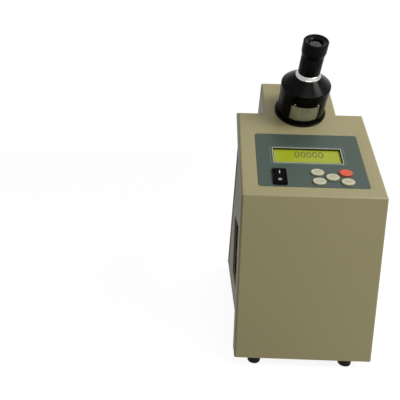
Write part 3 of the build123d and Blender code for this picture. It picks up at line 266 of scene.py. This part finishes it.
out = tree.nodes.new("ShaderNodeOutputMaterial")
tree.links.new(both.outputs[0], out.inputs["Surface"])
floor.data.materials.append(floor_finish)
print("floor radius", FLOOR_R)

# %% [markdown]
# Effects that several finishes share are shader node groups. Each takes the object
# coordinates and gives back a shade, a roughness factor and a height, so one
# function builds the sockets and each group only adds its own nodes between them.

# %% Group builder


def new_group(name, numbers):
    group = bpy.data.node_groups.new(name, "ShaderNodeTree")
    sockets = group.interface
    sockets.new_socket("Vector", in_out="INPUT", socket_type="NodeSocketVector")
    for label, value in numbers:
        made = sockets.new_socket(label, in_out="INPUT", socket_type="NodeSocketFloat")
        made.default_value = value
    for label in ("Shade", "Rough", "Height"):
        sockets.new_socket(label, in_out="OUTPUT", socket_type="NodeSocketFloat")
    enter = group.nodes.new("NodeGroupInput")
    leave = group.nodes.new("NodeGroupOutput")
    return group, enter.outputs, leave.inputs


def noise(tree, vector, scale, detail=3.0):
    node = tree.nodes.new("ShaderNodeTexNoise")
    node.inputs["Detail"].default_value = detail
    tree.links.new(vector, node.inputs["Vector"])
    put(tree, scale, node.inputs["Scale"])
    return node.outputs["Fac"]


print("group sockets: Shade, Rough, Height")

# %% [markdown]
# Moulded grain is the fine stipple of a plastic case, under a millimetre apart,
# with a slow change of shade over a hand's width. Two noises of very different
# scale make it, because a single one looks either like sand or like clouds.

# %% Moulded grain
CLOUDS = 9.0
grain, given, result = new_group("moulded grain", [("Stipple", 1500.0), ("Change", 0.06)])
fine = noise(grain, given["Vector"], given["Stipple"], 2.0)
slow = noise(grain, given["Vector"], CLOUDS)
darkest = combine(grain, "SUBTRACT", 1.0, given["Change"])
speck = spread(grain, fine, 0.97, 1.0)
put(grain, combine(grain, "MULTIPLY", spread(grain, slow, darkest, 1.0), speck), result["Shade"])
put(grain, spread(grain, slow, 0.95, 1.08), result["Rough"])
put(grain, fine, result["Height"])
print("group", grain.name)

# %% [markdown]
# Turned or ground metal carries drawn scratches, and black paint and glass carry
# the faint, uneven polish that fingers leave. The scratches are a noise squeezed
# along one axis by a Mapping node, and the polish is a soft noise that works on
# roughness much more than on colour.

# %% Brushed lines and handling
STRETCH = 0.04
brushed, given, result = new_group("brushed lines", [("Lines", 900.0), ("Change", 0.12)])
squeeze = brushed.nodes.new("ShaderNodeMapping")
squeeze.inputs["Scale"].default_value = (1.0, STRETCH, 1.0)
put(brushed, given["Vector"], squeeze.inputs["Vector"])
lines = noise(brushed, squeeze.outputs["Vector"], given["Lines"], 2.0)
darkest = combine(brushed, "SUBTRACT", 1.0, given["Change"])
put(brushed, spread(brushed, lines, darkest, 1.0), result["Shade"])
put(brushed, spread(brushed, lines, 0.85, 1.15), result["Rough"])
put(brushed, lines, result["Height"])

handling, given, result = new_group("handling", [("Smears", 45.0), ("Change", 0.05)])
smear = noise(handling, given["Vector"], given["Smears"], 5.0)
darkest = combine(handling, "SUBTRACT", 1.0, given["Change"])
put(handling, spread(handling, smear, darkest, 1.0), result["Shade"])
put(handling, spread(handling, smear, 0.75, 1.35), result["Rough"])
put(handling, smear, result["Height"])
print("groups", [g.name for g in bpy.data.node_groups])

# %% [markdown]
# A finish is one shader with a colour, a roughness and one of those groups. The
# group's shade multiplies the colour, its rough multiplies the roughness, and its
# height goes through a Bump node whose distance is the real depth of the grain.
# Numbers that are the same all over are set on the shader's own sockets, because
# an exported model keeps only those.

# %% Finish maker
GRAIN_DEPTH = 0.00002


def finish(name, colour, rough, effect, numbers, metal=0.0, bump=0.3):
    mat = bpy.data.materials.new(name)
    mat.use_nodes = True
    tree = mat.node_tree
    shader = tree.nodes["Principled BSDF"]
    coords = tree.nodes.new("ShaderNodeTexCoord")
    node = tree.nodes.new("ShaderNodeGroup")
    node.node_tree = effect
    tree.links.new(coords.outputs["Object"], node.inputs["Vector"])
    for label, value in numbers.items():
        node.inputs[label].default_value = value
    tint = tree.nodes.new("ShaderNodeMix")
    tint.data_type = "RGBA"
    tint.blend_type = "MULTIPLY"
    tint.inputs["Factor"].default_value = 1.0
    tint.inputs["A"].default_value = (*colour, 1)
    tree.links.new(node.outputs["Shade"], tint.inputs["B"])
    tree.links.new(tint.outputs["Result"], shader.inputs["Base Color"])
    put(tree, combine(tree, "MULTIPLY", node.outputs["Rough"], rough), shader.inputs["Roughness"])
    shader.inputs["Metallic"].default_value = metal
    lift = tree.nodes.new("ShaderNodeBump")
    lift.inputs["Strength"].default_value = bump
    lift.inputs["Distance"].default_value = GRAIN_DEPTH
    tree.links.new(node.outputs["Height"], lift.inputs["Height"])
    tree.links.new(lift.outputs["Normal"], shader.inputs["Normal"])
    return mat


print("grain depth", GRAIN_DEPTH)

# %% [markdown]
# The case is a warm beige plastic with a fine stipple. The cover, feet, switch and
# knobs are blacks that differ mostly in gloss. A black object is bright only by its
# reflection, so each black gets a low specular level, and then the lines of light
# on its edges stay thin, as they are in the photograph.

# %% Plastics, rubber and paint
beige = finish("beige moulding", (0.325, 0.285, 0.140), 0.42, grain, {"Change": 0.05})
black_cover = finish("black cover", (0.018, 0.017, 0.016), 0.45, grain, {"Change": 0.2})
black_paint = finish("black paint", (0.03, 0.03, 0.03), 0.5, grain, {"Change": 0.15})
rubber = finish("black rubber", (0.012, 0.012, 0.012), 0.62, grain, {"Stipple": 700.0})
film = finish("panel film", (0.044, 0.072, 0.056), 0.38, grain, {"Stipple": 2500.0})
dark_plastic = finish("dark plastic", (0.022, 0.022, 0.023), 0.4, grain, {})
cream = finish("cream key", (0.44, 0.425, 0.275), 0.35, handling, {})
orange = finish("orange key", (0.62, 0.085, 0.03), 0.35, handling, {})
gloss_black = finish("gloss black", (0.003, 0.003, 0.003), 0.3, handling, {}, bump=0.03)
satin_black = finish("satin black", (0.008, 0.008, 0.008), 0.38, grain, {})
eyepiece_black = finish(
    "eyepiece black", (0.003, 0.003, 0.0027), 0.18, handling, {"Change": 0.15}, bump=0.05
)
board_green = finish("board green", (0.01, 0.06, 0.025), 0.3, handling, {})
lcd_green = finish("display green", (0.34, 0.395, 0.011), 0.22, handling, {}, bump=0.02)

black_sheen = [
    (eyepiece_black, 0.08), (satin_black, 0.2), (black_cover, 0.2),
    (dark_plastic, 0.2), (rubber, 0.2), (gloss_black, 0.04),
]
for black, sheen in black_sheen:
    black.node_tree.nodes["Principled BSDF"].inputs["Specular IOR Level"].default_value = sheen
print("blacks with a low sheen", len(black_sheen))

# %% [markdown]
# Metals are full metallic shaders with the brushed group, told apart by colour and roughness: zinc
# on screws, plated jackets, ground steel shafts, brass gears. Glass is the same shader with full
# transmission. The eye lens is glass tinted very dark as painted shade, standing in for the black
# bore behind it, which leaves almost no light to see.

# %% Metals and glass
zinc = finish("zinc plate", (0.55, 0.54, 0.5), 0.33, brushed, {}, metal=1.0)
alloy = finish("machined alloy", (0.6, 0.6, 0.6), 0.35, brushed, {}, metal=1.0)
plated = finish("satin plate", (0.5, 0.49, 0.46), 0.28, brushed, {}, metal=1.0)
brass = finish("cut brass", (0.62, 0.42, 0.14), 0.3, brushed, {}, metal=1.0)
steel = finish("ground steel", (0.58, 0.57, 0.55), 0.25, brushed, {}, metal=1.0)
chrome = finish("bright ring", (0.8, 0.8, 0.78), 0.12, handling, {}, metal=1.0, bump=0.02)
# Satin metal whose warm tint is partly painted reflection of the beige case round the drum.
drum_metal_and_reflection = finish(
    "drum metal", (0.6, 0.6, 0.46), 0.4, brushed, {"Lines": 500.0, "Change": 0.2}, metal=0.7
)
mirror = finish("front mirror", (0.9, 0.9, 0.9), 0.03, handling, {}, metal=1.0, bump=0.0)


def glass(name, colour):
    mat = finish(name, colour, 0.02, handling, {"Change": 0.02}, bump=0.02)
    shader = mat.node_tree.nodes["Principled BSDF"]
    shader.inputs["Transmission Weight"].default_value = 1.0
    shader.inputs["IOR"].default_value = 1.52
    return mat


clear_glass = glass("optical glass", (0.93, 0.98, 0.96))
# Painted shade: the eye lens's colour is near-black, for the dark bore behind it.
shaded_eye_glass = glass("shaded eye lens", (0.05, 0.06, 0.065))
print("glass finishes", clear_glass.name, "and", shaded_eye_glass.name)

# %% [markdown]
# Each solid node names its material slot in the record. One table gives a finish
# for each slot, so no node is left in plain grey, and a node that is never seen
# from outside is dressed with the same care as the rest.

# %% Dress the solid nodes
slot_finish = {
    "beige_moulding": beige,
    "black_cover": black_cover,
    "base_steel": black_paint,
    "rubber": rubber,
    "screw_steel": zinc,
    "panel_film": film,
    "display_green": lcd_green,
    "dark_plastic": dark_plastic,
    "key_cream": cream,
    "key_orange": orange,
    "switch_black": gloss_black,
    "board_green": board_green,
    "bare_alloy": alloy,
    "jacket_metal": plated,
    "knob_black": satin_black,
    "optical_glass": clear_glass,
    "mirror_face": mirror,
    "eyepiece_black": eyepiece_black,
    "bright_ring": chrome,
    "gear_brass": brass,
    "shaft_steel": steel,
}
node_slot = {row["node"]: row["material_slot"] for row in frame["record"]["subparts"]}
for name, node_object in frame["nodes"].items():
    for place in node_object.material_slots:
        place.material = slot_finish[node_slot[name]]
print("finished nodes", len(frame["nodes"]))

# %% [markdown]
# Everything on the eyepiece is turned, so each piece is a half section spun about
# the tilted axis. Real turnings never have razor edges: the section's corners are
# rounded first, which is what catches the thin bright lines on black paint. A
# corner on the axis is a pole and stays where it is.

# %% Soft corners for a section
ON_AXIS = 1e-6
ARC_STEPS = 4


def rounded(section, radius):
    """The closed section with each corner off the axis replaced by a small arc."""
    made = []
    count = len(section)
    for i, corner in enumerate(section):
        here = Vector(corner)
        back_way = Vector(section[i - 1]) - here
        on_way = Vector(section[(i + 1) % count]) - here
        if here.x < ON_AXIS:
            made.append(here)
            continue
        reach = min(radius, 0.4 * back_way.length, 0.4 * on_way.length)
        first = here + back_way.normalized() * reach
        last = here + on_way.normalized() * reach
        for k in range(ARC_STEPS + 1):
            t = k / ARC_STEPS
            made.append(first * (1 - t) ** 2 + here * 2 * t * (1 - t) + last * t * t)
    return made


print("arc steps", ARC_STEPS)

# %% [markdown]
# A shape becomes a piece in three steps that never change: merge doubled points
# and turn the faces outwards, shade smooth but keep real corners sharp, then tell
# the frame which body carries it. One function does it for every hand-built mesh.

# %% From shape to piece
MERGE = 1e-7
EDGE_ANGLE = math.radians(35)


def finish_mesh(name, shape, material, body):
    bmesh.ops.remove_doubles(shape, verts=shape.verts, dist=MERGE)
    bmesh.ops.recalc_face_normals(shape, faces=shape.faces)
    mesh = bpy.data.meshes.new(name)
    shape.to_mesh(mesh)
    shape.free()
    mesh.shade_smooth()
    mesh.set_sharp_from_angle(angle=EDGE_ANGLE)
    mesh.materials.append(material)
    piece = bpy.data.objects.new(name, mesh)
    bpy.context.scene.collection.objects.link(piece)
    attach(piece, body)
    return piece


print("edge angle", round(math.degrees(EDGE_ANGLE)))

# %% [markdown]
# The spin could be a Screw modifier, but that leaves a seam and open poles. Done by
# hand, each section point makes one ring of vertices, or a single vertex where it
# lies on the axis, and neighbouring rings are joined by quads or triangles. The
# last ring joins the first, so the solid is closed.

# %% Spin a section
ROUND_SIDES = 128


def ring_of(shape, matrix, radius, height, sides):
    if radius < ON_AXIS:
        return [shape.verts.new(matrix @ Vector((0, 0, height)))]
    ring = []
    for k in range(sides):
        a = 2 * math.pi * k / sides
        spot = Vector((radius * math.cos(a), radius * math.sin(a), height))
        ring.append(shape.verts.new(matrix @ spot))
    return ring


def spin(section, matrix, sides):
    """Spins a closed section of (radius, height) in metres about the local axis."""
    shape = bmesh.new()
    rings = [ring_of(shape, matrix, point[0], point[1], sides) for point in section]
    for i, ring in enumerate(rings):
        other = rings[(i + 1) % len(rings)]
        if len(ring) == 1 and len(other) == 1:
            continue
        for k in range(sides):
            n = (k + 1) % sides
            if len(ring) == 1:
                shape.faces.new((ring[0], other[n], other[k]))
            elif len(other) == 1:
                shape.faces.new((ring[k], ring[n], other[0]))
            else:
                shape.faces.new((ring[k], ring[n], other[n], other[k]))
    return shape


def turning(
    name, section, material, body, nodes=(), soft=0.3, matrix=EYE, sides=ROUND_SIDES
):
    """Section and corner radius are in millimetres."""
    in_metres = [(r / 1000, h / 1000) for r, h in section]
    shape = spin(rounded(in_metres, soft / 1000), matrix, sides)
    piece = finish_mesh(name, shape, material, body)
    if nodes:
        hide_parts(*nodes)
    return piece


print("eyepiece pieces have", ROUND_SIDES, "sides")

# %% [markdown]
# The cover over the compensator is a straight cone with a short skirt. It sits on the
# sleeve by a thin spigot, is hollow, and ends in a small seat for the bright
# collar, which tapers up to the tube. Heights are counted from the slope along the
# eyepiece's axis.

# %% Cone and bright collar
TUBE_R = 12.5
HOLLOW_R = 25.0
SPIGOT_R = 26.9
SPIGOT_LOW = 27.0
SKIRT_R = 28.8
SKIRT_LOW = 29.6
SKIRT_TOP = 40.0
COLLAR_LOW = 51.0

cone_section = [
    (TUBE_R, 47.5), (HOLLOW_R, 38.4), (HOLLOW_R, SPIGOT_LOW), (SPIGOT_R, SPIGOT_LOW),
    (SPIGOT_R, SKIRT_LOW), (SKIRT_R, SKIRT_LOW), (SKIRT_R, SKIRT_TOP), (28.3, 40.6),
    (14.6, 50.6), (14.2, COLLAR_LOW), (TUBE_R, COLLAR_LOW),
]
turning("cone", cone_section, eyepiece_black, "case", ["eyepiece_cone"])
collar_section = [
    (TUBE_R, COLLAR_LOW), (14.4, COLLAR_LOW), (14.4, 52.2), (13.9, 52.6), (12.9, 55.8),
    (TUBE_R, 56.0),
]
turning("bright_collar", collar_section, chrome, "case", ["eyepiece_ring"], 0.2)
print("cone from", SKIRT_LOW, "to", COLLAR_LOW)

# %% [markdown]
# The tube is plain, and the dioptre cap slides into it and turns. The cap is wider
# than the tube, with a short taper below and a rolled rim above, so its section
# starts inside the bore, comes out over the tube's end and returns down the
# eye-side opening.

# %% Tube and dioptre cap
TUBE_BORE = 10.5
TUBE_LOW, TUBE_TOP = 36.0, 77.2
CAP_BORE = 8.2
CAP_SPIGOT_R = 10.42
CAP_R = 13.65
CAP_LOW, CAP_TOP = 77.6, 94.0
STOP_R = 7.6
LENS_EDGE = 89.6

tube_section = [
    (TUBE_BORE, TUBE_LOW), (TUBE_R, TUBE_LOW), (TUBE_R, TUBE_TOP), (TUBE_BORE, TUBE_TOP),
]
turning("ocular_tube", tube_section, eyepiece_black, "case", ["eyepiece_tube"])
cap_section = [
    (CAP_BORE, 68.0), (CAP_SPIGOT_R, 68.0), (CAP_SPIGOT_R, CAP_LOW), (12.6, CAP_LOW),
    (CAP_R, 81.8), (CAP_R, 93.2), (12.9, CAP_TOP), (12.0, CAP_TOP), (11.6, 93.0),
    (9.2, 92.2), (STOP_R, 91.2), (STOP_R, LENS_EDGE), (CAP_BORE, LENS_EDGE),
]
turning("eyecup", cap_section, eyepiece_black, "dioptre", ["dioptre_cap"])
print("cap from", CAP_LOW, "to", CAP_TOP)

# %% [markdown]
# Two lenses ride in the cap: the one that the eye looks into and the field lens
# below it. Both are closed lens sections with a flat edge that fills the bore. The
# eye lens stands for the solid model's pair, and the field lens is added to it.

# %% Lenses
eye_lens = [
    (0, 85.2), (CAP_BORE, 86.4), (CAP_BORE, LENS_EDGE), (STOP_R, LENS_EDGE), (4.0, 90.9),
    (0, 91.4),
]
field_lens = [(0, 70.0), (CAP_BORE, 71.0), (CAP_BORE, 73.5), (4.5, 74.6), (0, 75.0)]
turning("eye_lens", eye_lens, shaded_eye_glass, "dioptre", ["eye_lenses"], 0.1)
turning("field_lens", field_lens, clear_glass, "dioptre", soft=0.1)
print("lenses at", eye_lens[0][1], "and", field_lens[0][1])

# %% [markdown]
# Three grub screws hold the cone to the sleeve. Each is a short turned plug with a
# drilled socket, set into the skirt with its axis pointing outwards, so the same
# spin makes it with a matrix that turns the axis to the side.

# %% Grub screws
GRUB_R, SOCKET_R = 1.15, 0.6
GRUB_DEPTH, SOCKET_DEPTH, GRUB_PROUD = -0.9, -0.5, 0.05
GRUB_H = 0.0376
GRUB_ANGLES = (-140.0, -50.0, 85.0)

grub = [
    (0, GRUB_DEPTH), (GRUB_R, GRUB_DEPTH), (GRUB_R, GRUB_PROUD), (SOCKET_R, GRUB_PROUD),
    (0.5, SOCKET_DEPTH), (0, SOCKET_DEPTH),
]
for number, angle in enumerate(GRUB_ANGLES):
    seat = (
        EYE
        @ Matrix.Rotation(math.radians(angle), 4, "Z")
        @ Matrix.Translation((SKIRT_R / 1000, 0, GRUB_H))
        @ Matrix.Rotation(math.radians(90), 4, "Y")
    )
    turning(
        f"grub_screw_{number}", grub, satin_black, "case",
        soft=0.1, matrix=seat, sides=24,
    )
print("grub screws", len(GRUB_ANGLES))

# %% [markdown]
# The solid nodes come in as loose triangles, which shade in facets. Where a node's
# shape is right but curved, a copy is merged, shaded smooth with its real corners
# kept sharp, and given weighted normals, so that large flat faces stay flat beside
# their small round edges. The copy then stands for the node.

# %% Smooth copy of a node
NODE_MERGE = 2e-6
NODE_ANGLE = math.radians(32)
body_of_node = {}
for body, members in frame["record"]["behaviour"]["bodies"].items():
    for member in members:
        body_of_node[member] = body


def smoothed(node, material=None):
    shape = bmesh.new()
    shape.from_mesh(frame["nodes"][node].data)
    bmesh.ops.remove_doubles(shape, verts=shape.verts, dist=NODE_MERGE)
    mesh = bpy.data.meshes.new(node + "_shell")
    shape.to_mesh(mesh)
    shape.free()
    mesh.shade_smooth()
    mesh.set_sharp_from_angle(angle=NODE_ANGLE)
    mesh.materials.clear()
    mesh.materials.append(material or slot_finish[node_slot[node]])
    piece = bpy.data.objects.new(node + "_shell", mesh)
    bpy.context.scene.collection.objects.link(piece)
    even = piece.modifiers.new("even normals", "WEIGHTED_NORMAL")
    even.keep_sharp = True
    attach(piece, body_of_node[node])
    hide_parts(node)
    return piece


print("nodes on bodies", len(body_of_node))

# %% [markdown]
# The list has every node with a round wall, bore or fillet. Flat boards and plates need no copy. The
# compensator's wheel shows through the sleeve's window as bare metal, so its copy gets the drum's
# finish instead of its slot's; that finish's warm tint is a painted reflection of the beige case.

# %% Curved nodes
curved = [
    "housing", "rear_cover", "rubber_feet", "case_screws", "switch_bezel",
    "key_upper_left", "key_upper_right", "key_centre", "key_lower_left",
    "key_lower_right", "eyepiece_base", "eyepiece_sleeve", "handwheel",
    "handwheel_bush", "handwheel_shaft", "mains_inlet", "serial_port",
    "lower_jacket_fittings", "upper_hose_nipples", "lower_prism_jacket",
    "upper_prism_jacket", "locking_knob", "lamp_barrel", "lamp_arm", "lamp_post",
    "lamp_lens", "recess_liner", "telescope_tube", "mirror_shaft",
    "objective_and_reticle", "lower_prism_cell", "upper_dispersion_prism",
    "lower_dispersion_prism", "fold_mirror", "fold_mirror_mount",
    "mechanism_bracket", "encoder_disc",
]
for node in curved:
    smoothed(node)
smoothed("dispersion_wheel", material=drum_metal_and_reflection)
print("smooth copies", len(curved) + 1)

# %% [markdown]
# A knurl is one small rounded ridge repeated round a rim, so Geometry Nodes make
# it: points on a circle, a short ridge on each, then the instances are made real
# because the exported model drops instances. Count, radius, length, thickness and
# material are the tree's named inputs.

# %% Knurl tree
RIDGE_SIDES = 8


def ridge_tree():
    tree = bpy.data.node_groups.new("ridges round a rim", "GeometryNodeTree")
    face = tree.interface
    face.new_socket("Geometry", in_out="INPUT", socket_type="NodeSocketGeometry")
    for label, kind in (
        ("Count", "NodeSocketInt"), ("Radius", "NodeSocketFloat"),
        ("Length", "NodeSocketFloat"), ("Thickness", "NodeSocketFloat"),
        ("Material", "NodeSocketMaterial"),
    ):
        face.new_socket(label, in_out="INPUT", socket_type=kind)
    face.new_socket("Geometry", in_out="OUTPUT", socket_type="NodeSocketGeometry")
    make = tree.nodes.new
    join = tree.links.new
    enter = make("NodeGroupInput")
    leave = make("NodeGroupOutput")
    circle = make("GeometryNodeMeshCircle")
    ridge = make("GeometryNodeMeshCylinder")
    ridge.inputs["Vertices"].default_value = RIDGE_SIDES
    scatter = make("GeometryNodeInstanceOnPoints")
    real = make("GeometryNodeRealizeInstances")
    paint = make("GeometryNodeSetMaterial")
    join(enter.outputs["Count"], circle.inputs["Vertices"])
    join(enter.outputs["Radius"], circle.inputs["Radius"])
    join(enter.outputs["Thickness"], ridge.inputs["Radius"])
    join(enter.outputs["Length"], ridge.inputs["Depth"])
    join(circle.outputs["Mesh"], scatter.inputs["Points"])
    join(ridge.outputs["Mesh"], scatter.inputs["Instance"])
    join(scatter.outputs["Instances"], real.inputs["Geometry"])
    join(real.outputs["Geometry"], paint.inputs["Geometry"])
    join(enter.outputs["Material"], paint.inputs["Material"])
    join(paint.outputs["Geometry"], leave.inputs["Geometry"])
    return tree


ridges = ridge_tree()
print("tree", ridges.name)

# %% [markdown]
# A tree needs an object to run on, so an empty mesh carries the modifier for a
# moment. The evaluated result becomes a plain mesh, the helper object goes, and the
# mesh is moved to its place by its own matrix, so that the piece's object stays at
# the origin.

# %% Knurl on the compensator wheel
KNURL_ANGLE = math.radians(50)
KNURL_MIDDLE = 0.0152


def grown(name, tree, values, matrix, body):
    """Runs a tree on an empty mesh, makes the result plain and puts it in place."""
    seed = bpy.data.objects.new(name + "_seed", bpy.data.meshes.new(name + "_seed"))
    bpy.context.scene.collection.objects.link(seed)
    mod = seed.modifiers.new("grow", "NODES")
    mod.node_group = tree
    for item in tree.interface.items_tree:
        if item.in_out == "INPUT" and item.name in values:
            mod[item.identifier] = values[item.name]
    bpy.context.view_layer.update()
    graph = bpy.context.evaluated_depsgraph_get()
    mesh = bpy.data.meshes.new_from_object(seed.evaluated_get(graph))
    bpy.data.objects.remove(seed)
    mesh.transform(matrix)
    mesh.name = name
    mesh.shade_smooth()
    mesh.set_sharp_from_angle(angle=KNURL_ANGLE)
    piece = bpy.data.objects.new(name, mesh)
    bpy.context.scene.collection.objects.link(piece)
    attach(piece, body)
    return piece


knurl_sizes = {
    "Count": 132, "Radius": 0.02615, "Length": 0.0188, "Thickness": 0.0004,
    "Material": drum_metal_and_reflection,
}
wheel_knurl = grown(
    "wheel_knurl", ridges, knurl_sizes,
    EYE @ Matrix.Translation((0, 0, KNURL_MIDDLE)), "dispersion_drum",
)
print("ridges", len(wheel_knurl.data.polygons), "faces")

# %% [markdown]
# The panel film is printed. A printed line could be a mask in the film's material,
# but then it would blur in close views and be lost from the exported mesh. So each
# mark is a thin raised sheet a few hundredths of a millimetre thick, like real
# print. The loops below are outlines in millimetres.

# %% Inks and outlines
PRINT = 0.00004
CORNER_STEPS = 5
OVAL_SIDES = 48
cream_print = finish("pale print", (0.52, 0.52, 0.38), 0.4, handling, {})
faint_print = finish("faint print", (0.13, 0.18, 0.165), 0.4, handling, {})
digit_ink = finish("display digits", (0.06, 0.075, 0.01), 0.4, handling, {})
white_ink = finish("white print", (0.62, 0.62, 0.6), 0.4, handling, {})
key_rim = finish("key rim", (0.66, 0.63, 0.52), 0.35, handling, {})


def loop_rounded(width, length, radius):
    points = []
    for cx, cy, start in ((1, 1, 0), (-1, 1, 90), (-1, -1, 180), (1, -1, 270)):
        mx = cx * (width / 2 - radius)
        my = cy * (length / 2 - radius)
        for k in range(CORNER_STEPS + 1):
            a = math.radians(start + 90 * k / CORNER_STEPS)
            points.append((mx + radius * math.cos(a), my + radius * math.sin(a)))
    return points


def loop_oval(a, b):
    turn = 2 * math.pi / OVAL_SIDES
    return [(a * math.cos(turn * k), b * math.sin(turn * k)) for k in range(OVAL_SIDES)]


def moved(loop, dx, dy):
    return [(x + dx, y + dy) for x, y in loop]


print("print thickness", PRINT)

# %% [markdown]
# A mark is a closed band between an outer and an inner loop with as many points.
# Four copies of the loops make its section, from the foot of the outer wall over
# the top to the foot of the inner wall. One function places them on a flat, and
# the other drops each point straight down on a curved node and prints there.

# %% Flat and draped bands


def banded(shape, outer, inner, placed, thick):
    """Joins outer and inner loops to a closed band; placed(x, y, h) gives a point."""
    rows = []
    for loop, h in ((outer, 0), (outer, thick), (inner, thick), (inner, 0)):
        rows.append([shape.verts.new(placed(x, y, h)) for x, y in loop])
    count = len(outer)
    for i in range(4):
        low, high = rows[i], rows[(i + 1) % 4]
        for k in range(count):
            n = (k + 1) % count
            shape.faces.new((low[k], low[n], high[n], high[k]))


def band(name, pairs, matrix, thick, material, body):
    shape = bmesh.new()
    for outer, inner in pairs:
        banded(
            shape, outer, inner,
            lambda x, y, h: matrix @ Vector((x / 1000, y / 1000, h)), thick,
        )
    return finish_mesh(name, shape, material, body)


def draped(name, pairs, matrix, node, material, body):
    """Thin print on a node's own surface, found by looking straight down on it."""
    source = frame["nodes"][node].data
    surface = BVHTree.FromPolygons(
        [v.co for v in source.vertices], [list(p.vertices) for p in source.polygons]
    )
    up = matrix.to_3x3() @ Vector((0, 0, 1))

    def lowered(x, y, h):
        start = matrix @ Vector((x / 1000, y / 1000, 0.01))
        return surface.ray_cast(start, -up)[0] + up * h

    shape = bmesh.new()
    for outer, inner in pairs:
        banded(shape, outer, inner, lowered, PRINT)
    return finish_mesh(name, shape, material, body)


print("bands ready")

# %% [markdown]
# The display sits behind a window in the film. A pale line borders the window, a fainter frame runs
# outside it, and the window's own edge is a wall in dark plastic whose near-black is painted shade:
# it gives the deep black line along the top of the glass.

# %% Window border
FILM_TOP = -0.0004
GLASS_TOP = -0.0026
WINDOW_X, WINDOW_S = 0.07565, 0.0603
on_film = slope_matrix(WINDOW_X, WINDOW_S, FILM_TOP)
on_wall = slope_matrix(WINDOW_X, WINDOW_S, GLASS_TOP)

line = (loop_rounded(78.0, 24.3, 1.0), loop_rounded(76.5, 22.8, 0.6))
band("window_line", [line], on_film, PRINT, cream_print, "case")
outer_frame = (loop_rounded(83.8, 27.6, 1.2), loop_rounded(82.6, 26.4, 0.8))
band("window_frame", [outer_frame], on_film, PRINT, faint_print, "case")
# Painted shade: the wall's near-black colour gives the black line of shade along the top of the
# glass.
wall = (loop_rounded(76.3, 22.6, 0.5), loop_rounded(75.3, 21.6, 0.4))
wall_h = FILM_TOP - GLASS_TOP - PRINT
band("window_shade_wall", [wall], on_wall, wall_h, dark_plastic, "case")
print("window wall", round(wall_h * 1000, 2), "mm high")

# %% [markdown]
# The display shows five plain zeros, ovals of thin dark ink in the middle of the
# glass. They are made like the other marks, because real liquid crystal segments
# look like flat ink seen through glass.

# %% Digits
DIGIT_STEP = 6.7
DIGIT_X, DIGIT_S = 0.0781, 0.0640
zero_out = loop_oval(2.75, 4.7)
zero_in = loop_oval(1.75, 3.7)
zeros = []
for place in range(-2, 3):
    zeros.append((moved(zero_out, DIGIT_STEP * place, 0), moved(zero_in, DIGIT_STEP * place, 0)))
on_glass = slope_matrix(DIGIT_X, DIGIT_S, GLASS_TOP)
band("display_digits", zeros, on_glass, PRINT, digit_ink, "case")
print("digits", len(zeros))

# %% [markdown]
# Each cream key has a paler rim round its flat top. It is draped on the key's own
# solid and rides on the key's body, so it goes down with the key. The orange key
# is left plain.

# %% Key rims
KEY_A, KEY_B = 7.5, 5.0
RIM_OUTER_A, RIM_OUTER_B = KEY_A - 1.4, KEY_B - 1.1
RIM_WIDTH = 0.8
key_places = {
    "key_upper_left": (0.0827, 0.0339),
    "key_centre": (0.0981, 0.0273),
    "key_lower_left": (0.0831, 0.0209),
    "key_lower_right": (0.1134, 0.0211),
}
rim = (
    loop_oval(RIM_OUTER_A, RIM_OUTER_B),
    loop_oval(RIM_OUTER_A - RIM_WIDTH, RIM_OUTER_B - RIM_WIDTH),
)
for node, (x, s) in key_places.items():
    draped(
        node + "_rim", [rim], slope_matrix(x, s), node, key_rim, body_of_node[node]
    )
print("key rims", len(key_places))

# %% [markdown]
# The rocker carries the usual bar for on and ring for off. Both are draped on its
# two tilted faces and ride on the rocker. The bar is a band whose inner loop is
# shrunk almost to nothing, so it reads as a filled stroke.

# %% Rocker marks
MARK_OUT = 4.6
BAR_CORE = 0.1
on_rocker = slope_matrix(0.04145, 0.0268)
bar = loop_rounded(0.9, 3.4, 0.3)
bar_core = [(x * BAR_CORE, y * BAR_CORE) for x, y in bar]
bar_pair = (moved(bar, 0, MARK_OUT), moved(bar_core, 0, MARK_OUT))
draped("mark_on", [bar_pair], on_rocker, "switch_rocker", white_ink, "rocker")
ring_pair = (moved(loop_oval(1.9, 1.5), 0, -MARK_OUT), moved(loop_oval(1.2, 0.85), 0, -MARK_OUT))
draped("mark_off", [ring_pair], on_rocker, "switch_rocker", white_ink, "rocker")
print("marks on the rocker", 2)

# %% [markdown]
# The last cell sets the plain view transform, which shows a colour as it is written.

# %% View transform
bpy.context.scene.view_settings.view_transform = "Standard"
